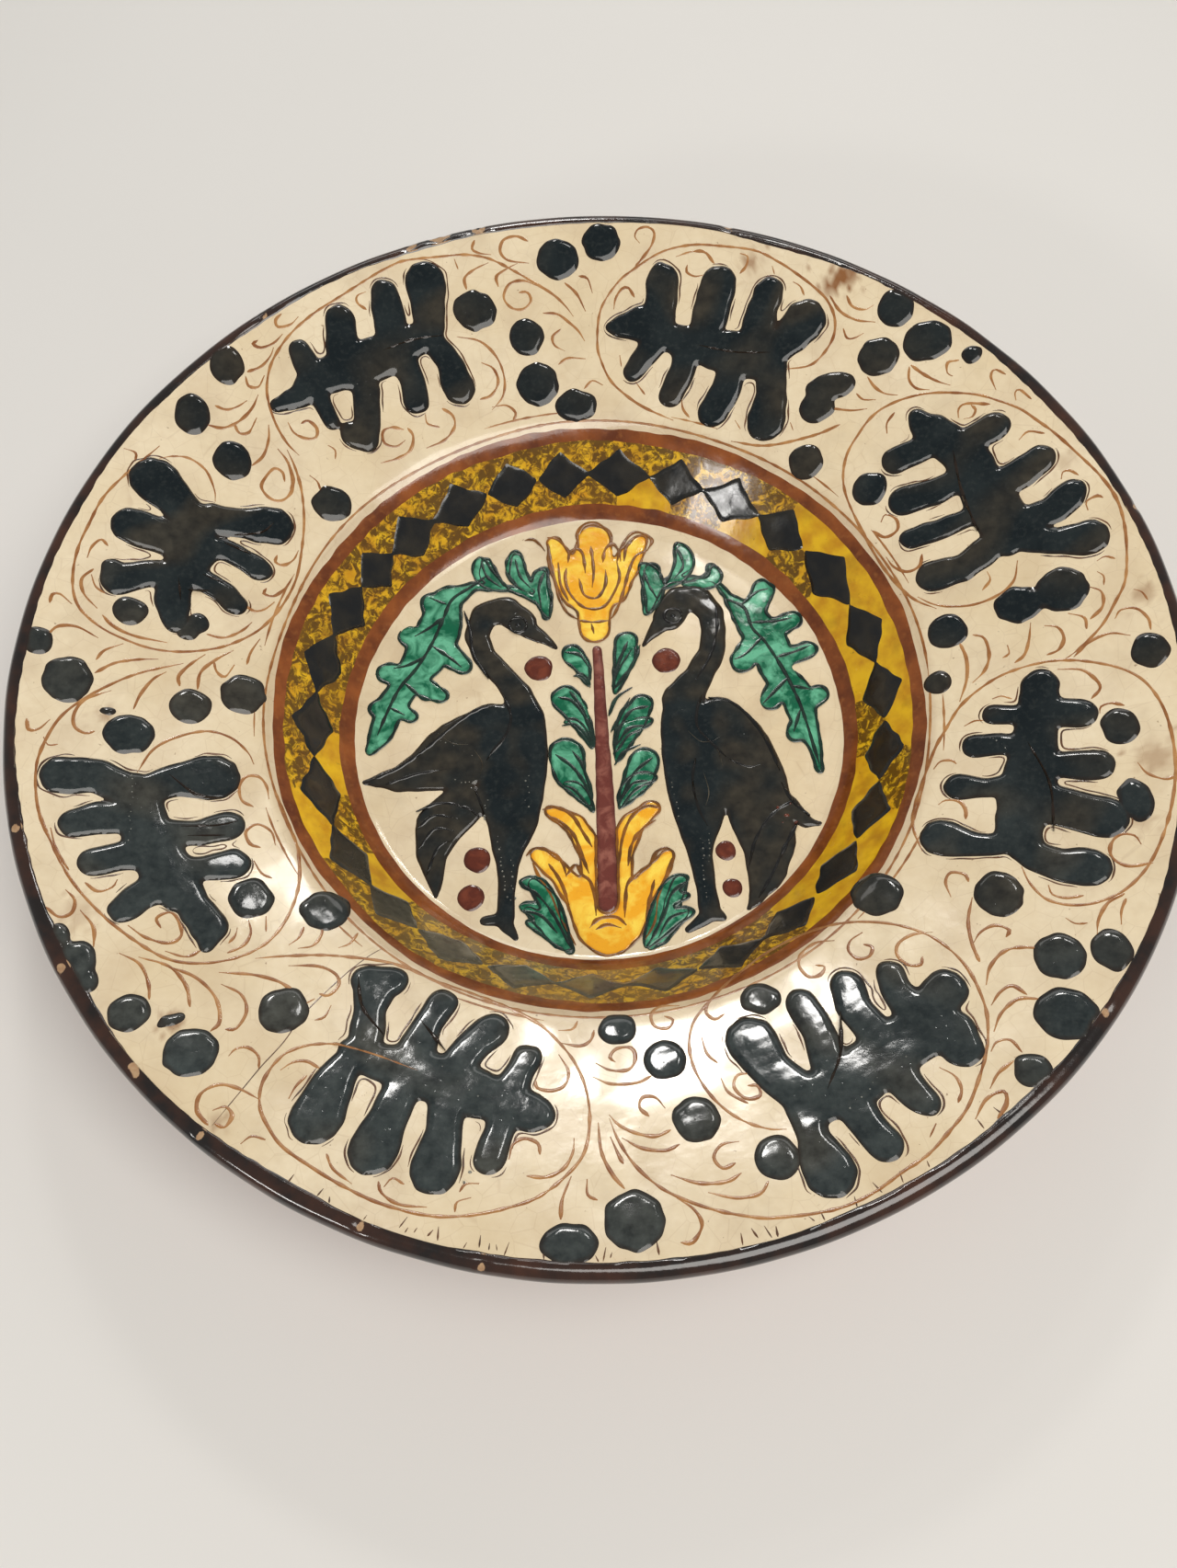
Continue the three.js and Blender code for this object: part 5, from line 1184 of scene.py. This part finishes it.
# Ridges drawn through the wet dark glaze of the birds: the neck, the wings, the tail feathers.
BIRD_RIDGES = [
    [(-31, 12), (-29.5, 8), (-28.8, 3), (-31, -3), (-35, -8), (-37, -11)],
    [(-75, -16.3), (-66, -12.5), (-57, -6), (-48, 2), (-40, 7.5), (-33, 9)],
    [(-70, -18), (-60, -15), (-50, -13.5)], [(-60, -28), (-52, -25.5), (-44, -27.5), (-39.5, -31)],
    [(-59.5, -34), (-54, -29.8), (-46, -31.5)], [(-59, -41), (-54, -34.5), (-47.5, -35.5)],
    [(-56.5, -50), (-53, -41), (-48, -38.5)], [(-41, -21), (-39, -27), (-38, -31)],
    [(-44, 46), (-42, 38), (-41, 29), (-36, 19)], [(35, 9), (33, 4), (32.5, -2.5), (36, -8), (41, -14)],
    [(37, 8), (44, 6), (50, 0), (55, -10), (58, -20)], [(42, -15), (48, -18), (53, -17)],
    [(62, -30), (54, -35), (48, -43), (45, -52)], [(62, -38), (57, -46), (52, -55), (47, -63)],
    [(31, -14), (29.5, -22), (30.5, -31), (33, -38)], [(66, -36), (61, -31), (58, -24)],
    [(42.5, 44), (42, 34), (39, 24), (33, 14)],
]
BIRD_EYES = [(-25.6, 39.4), (27.5, 40.0)]
EYE_RING_R = 3.0
EYE_SIZE = (1.5, 1.3)

# Pale lines on the birds' glaze: cracks in it, and painted highlights along the wing feathers.
BIRD_CRACKS_AND_GLINTS = [
    [(29.3, -4), (33, -8), (36.5, -8.6), (38.6, -11.8), (39.6, -17)], [(36.5, -8.6), (40, -6.4)],
    [(-53, -0.5), (-48, -4.4), (-43, -5)], [(-41, -7), (-38.5, -12), (-39.5, -17)],
    [(33.2, -19), (34.4, -26), (33, -31)],
]

# Rows of bubbles that burst in the dark glaze and left beads, coloured pale as painted highlights:
# [start, end, how many]. The last two are painted highlights only: the glints in the birds' eyes.
BEAD_ROWS = [
    [(-34, -38), (-31, -60), 14], [(-29.5, -46), (-29, -58), 7], [(-37.5, -25), (-38, -32), 5],
    [(30.5, -42), (30.5, -62), 12], [(33.5, -40), (33, -50), 6], [(-138.5, -28), (-137, -50), 12],
    [(60, -135), (78, -121), 11], [(-52, -3), (-42, -9), 6], [(-47, -18), (-41, -19), 5],
    [(-24, -17), (-24, -28), 6], [(-41, -150), (-34, -137), 5], [(-48, -118), (-38, -127), 5],
    [(117.5, -26), (121.5, -31), 6], [(22.5, -22), (24, -34), 6], [(-24.8, 38.6), (-24.8, 38.6), 1],
    [(28.3, 39.2), (28.3, 39.2), 1],
]

# Ridges along the spines and lobes of the rim's leaves.
LEAF_RIDGES = [
    [(-67, 127), (-57, 131), (-47, 133)], [(41, 126), (53, 122), (65, 120)], [(-131, 41), (-130, 33)],
    [(-115, 58), (-107, 60), (-103, 64)], [(-118, 55), (-110, 52)], [(-124, 43), (-118, 41)],
    [(-128, 37), (-122, 37.5)], [(-129, -27), (-121, -33), (-114, -33.5)],
    [(-124, -44), (-115, -43), (-109, -41)], [(-122, -47), (-112, -46)],
    [(120, 74), (121, 60), (124, 45)], [(127, -30), (130, -45), (128, -60)],
    [(62, -108), (60, -120), (55, -130)], [(-72, -90), (-70, -100), (-64, -108)],
    [(-54, -104), (-47, -113)],
]
LEAF_SCRATCH = [(-77, -110.5), (-66, -114), (-54, -119)]


def bird_brown(x, y):
    """Where a bird's glaze runs thin and brown: the neck and head, the wing and the tail."""
    neck = np.clip((y - 6) / 10, 0, 1)
    wing = np.clip((np.abs(x) - 38 - 0.12 * y) / 8, 0, 1)
    return np.clip(0.75 * np.maximum(neck, wing) + 0.35 * waves(x, y, 14, 85), 0, 0.9)


def leaf_brown(x, y):
    """Patches of the rim's leaves that run thin and brown, a little more so at the back."""
    return np.clip(0.05 + 0.8 * waves(x, y, 34, 86) + 0.15 * y / 170, 0, 0.9)


def dot_brown(x, y):
    """The dots of the rim are thinner and browner than its leaves, each a little differently."""
    return np.clip(0.45 + 0.6 * waves(x, y, 60, 88), 0, 1)


def painted_sheen(x, y):
    """Painted sheen: where the dark glaze of the rim is painted paler, most of all at the front and the left.
    """
    return np.clip(0.15 - (y + 0.3 * x) / 150 + 0.15 * waves(x, y, 40, 89), 0, 1)


def eye_rings():
    turns = np.linspace(0, TAU, 25)
    around = EYE_RING_R * np.stack([np.cos(turns), np.sin(turns)], 1)
    return [(np.array(centre) + around, 1.0, 0.1, 0.1) for centre in BIRD_EYES]


def beads():
    """An ellipse for each bead, a little off its row."""
    ellipses = []
    draw = np.random.default_rng(87)
    for start, end, count in BEAD_ROWS:
        for share in np.linspace(0, 1, count):
            place = np.array(start) * (1 - share) + np.array(end) * share + draw.normal(0, 0.35, 2)
            ellipses.append([*place, *draw.uniform(0.35, 0.6, 2)])
    return ellipses


def line_work():
    """What was drawn over the glaze with a fine brush or a point, and the beads and eyes."""
    for name, lines, material, slot, lift, base in [
        ("tulip_lines", strokes(TULIP_LINES, 1.1, 2, 3.5), OCHRE_LINE, "orange_glaze", 0.50, 0.33),
        ("green_veins", strokes(VEINS, 1.15, 2, 5), GREEN_LINE, "green_glaze", 0.55, 0.4),
        ("bird_ridges", strokes(BIRD_RIDGES, 1.1, 3, 5) + eye_rings(), FEATHER_LINE, "dark_glaze", 1.0, 0.66),
        ("leaf_ridges", strokes(LEAF_RIDGES, 1.0, 4, 4), DARK, "dark_glaze", 1.12, 0.65),
        ("leaf_scratch", strokes([LEAF_SCRATCH], 0.7, 1, 6), SCROLL_LINE, "brown_slip", 1.0, 0.7),
        ("bird_cracks_and_glints", strokes(BIRD_CRACKS_AND_GLINTS, 0.45, 3, 4), CRACKS_AND_GLINTS, "dark_glaze", 0.9, 0.65),
    ]:
        lines_piece(name, lines, material, lift, base)
    # The beads are coloured pale as painted highlights.
    relief("beads", shape_of_dots(beads()), BEAD_GLINTS, "dark_glaze", thick=1.3, roll=0.6, step=0.2, soften=0)
    eyes = [[x, y, *EYE_SIZE] for x, y in BIRD_EYES]
    relief("eyes", shape_of_dots(eyes), DARK, "dark_glaze", thick=1.25, roll=1.3, step=0.25, soften=0)


# Small red-brown flecks burnt into the right bird's tail: [x, y, radius along X, radius along Y].
FLECKS = [
    [56, -33, 1.0, 1.3], [58.5, -35.6, 1.5, 1.0], [60, -31.4, 0.8, 1.1], [61.4, -38, 1.1, 0.7],
    [57, -38, 0.8, 0.7],
]
CRACK = [
    (-66, -81), (-70, -84), (-76, -90), (-85, -101), (-90, -110), (-95, -117), (-100, -125), (-105, -133),
]
TICKED = (236, 312)  # degrees round from +X where the brush ticked the front of the rim
TICKS = 34


def wear():
    """A hairline crack, burnt flecks, and the short ticks that the brush left by the lip."""
    relief("flecks", shape_of_dots(FLECKS), RED, "red_glaze", thick=0.95, roll=0.8, step=0.25, soften=0)
    lines_piece("hairline_crack", strokes([CRACK], 0.32, 4, 10), EDGE_LINE, lift=0.05)
    draw = np.random.default_rng(91)
    ticks = []
    for _ in range(TICKS):
        angle = math.radians(draw.uniform(*TICKED))
        start = draw.uniform(0.4, 1.6)
        length = draw.uniform(1.2, 3.4)
        lean = draw.normal(0, 0.004)
        ends = [(CREAM_R - start, angle), (CREAM_R - start - length, angle + lean)]
        points = [(radius * math.cos(turn), radius * math.sin(turn)) for radius, turn in ends]
        ticks += strokes([points], draw.uniform(0.35, 0.6), 0.5, 1.5)
    lines_piece("brush_ticks", ticks, EDGE_LINE, lift=0.08)


clay_body()
lip()
grounds()
rim_leaves()
rim_dots()
scrolls()
diamonds()
birds()
washes()
line_work()
wear()


# ---------------------------------------------------------------- camera, light and floor
CAMERA_AT = Vector((-4.19, -195.50, 406.5)) * MM
CAMERA_TILT = math.radians(23.83)
CAMERA_ROLL = math.radians(-2.80)
CAMERA_LENS = 30.6

DISH_MIDDLE = Vector((0, 0, 0.03))
FLOOR_SIZE = 6
DAYLIGHT = (1.0, 0.98, 0.95)
# Each lamp, in metres: name, place, size, watts, colour. The two windows are what the glaze mirrors.
LAMPS = [
    ("window", (-0.03, 0.95, 0.92), (0.13, 0.10), 1.8, DAYLIGHT),
    ("second_window", (0.128, 0.475, 0.62), (0.055, 0.05), 0.2, DAYLIGHT),
    ("key", (0.42, -0.5, 1.5), (1.05, 1.05), 17.8, (1.0, 0.97, 0.92)),
    ("low_back", (0.05, 1.3, 0.78), (1.2, 0.28), 2.2, DAYLIGHT),
    ("fill", (-0.85, -0.9, 0.7), (0.35, 0.12), 2.5, DAYLIGHT),
]


def camera():
    data = bpy.data.cameras.new("view")
    data.lens = CAMERA_LENS
    data.clip_start = 0.01
    view = bpy.data.objects.new("view", data)
    turn = Matrix.Rotation(CAMERA_TILT, 4, "X") @ Matrix.Rotation(CAMERA_ROLL, 4, "Z")
    view.matrix_world = Matrix.Translation(CAMERA_AT) @ turn
    bpy.context.scene.collection.objects.link(view)
    bpy.context.scene.camera = view


def lamp(name, place, size, watts, colour):
    """A soft rectangular light that looks at the middle of the dish."""
    data = bpy.data.lights.new(name, "AREA")
    data.shape = "RECTANGLE"
    data.size, data.size_y = size
    data.energy = watts
    data.color = colour
    light = bpy.data.objects.new(name, data)
    light.location = Vector(place)
    light.rotation_euler = (DISH_MIDDLE - light.location).to_track_quat("-Z", "Y").to_euler()
    bpy.context.scene.collection.objects.link(light)


def studio():
    """A pale world, the lamps and the floor. Standard shows cream, yellow and orange as they are painted."""
    world = bpy.data.worlds.new("studio")
    world.use_nodes = True
    background = world.node_tree.nodes["Background"]
    background.inputs["Color"].default_value = (1.0, 0.99, 0.97, 1)
    background.inputs["Strength"].default_value = 0.27
    bpy.context.scene.world = world
    bpy.context.scene.view_settings.view_transform = "Standard"
    for row in LAMPS:
        lamp(*row)
    bpy.ops.mesh.primitive_plane_add(size=FLOOR_SIZE)
    floor = bpy.context.object
    floor.name = "studio_floor"
    floor.data.materials.append(studio_floor())


camera()
studio()
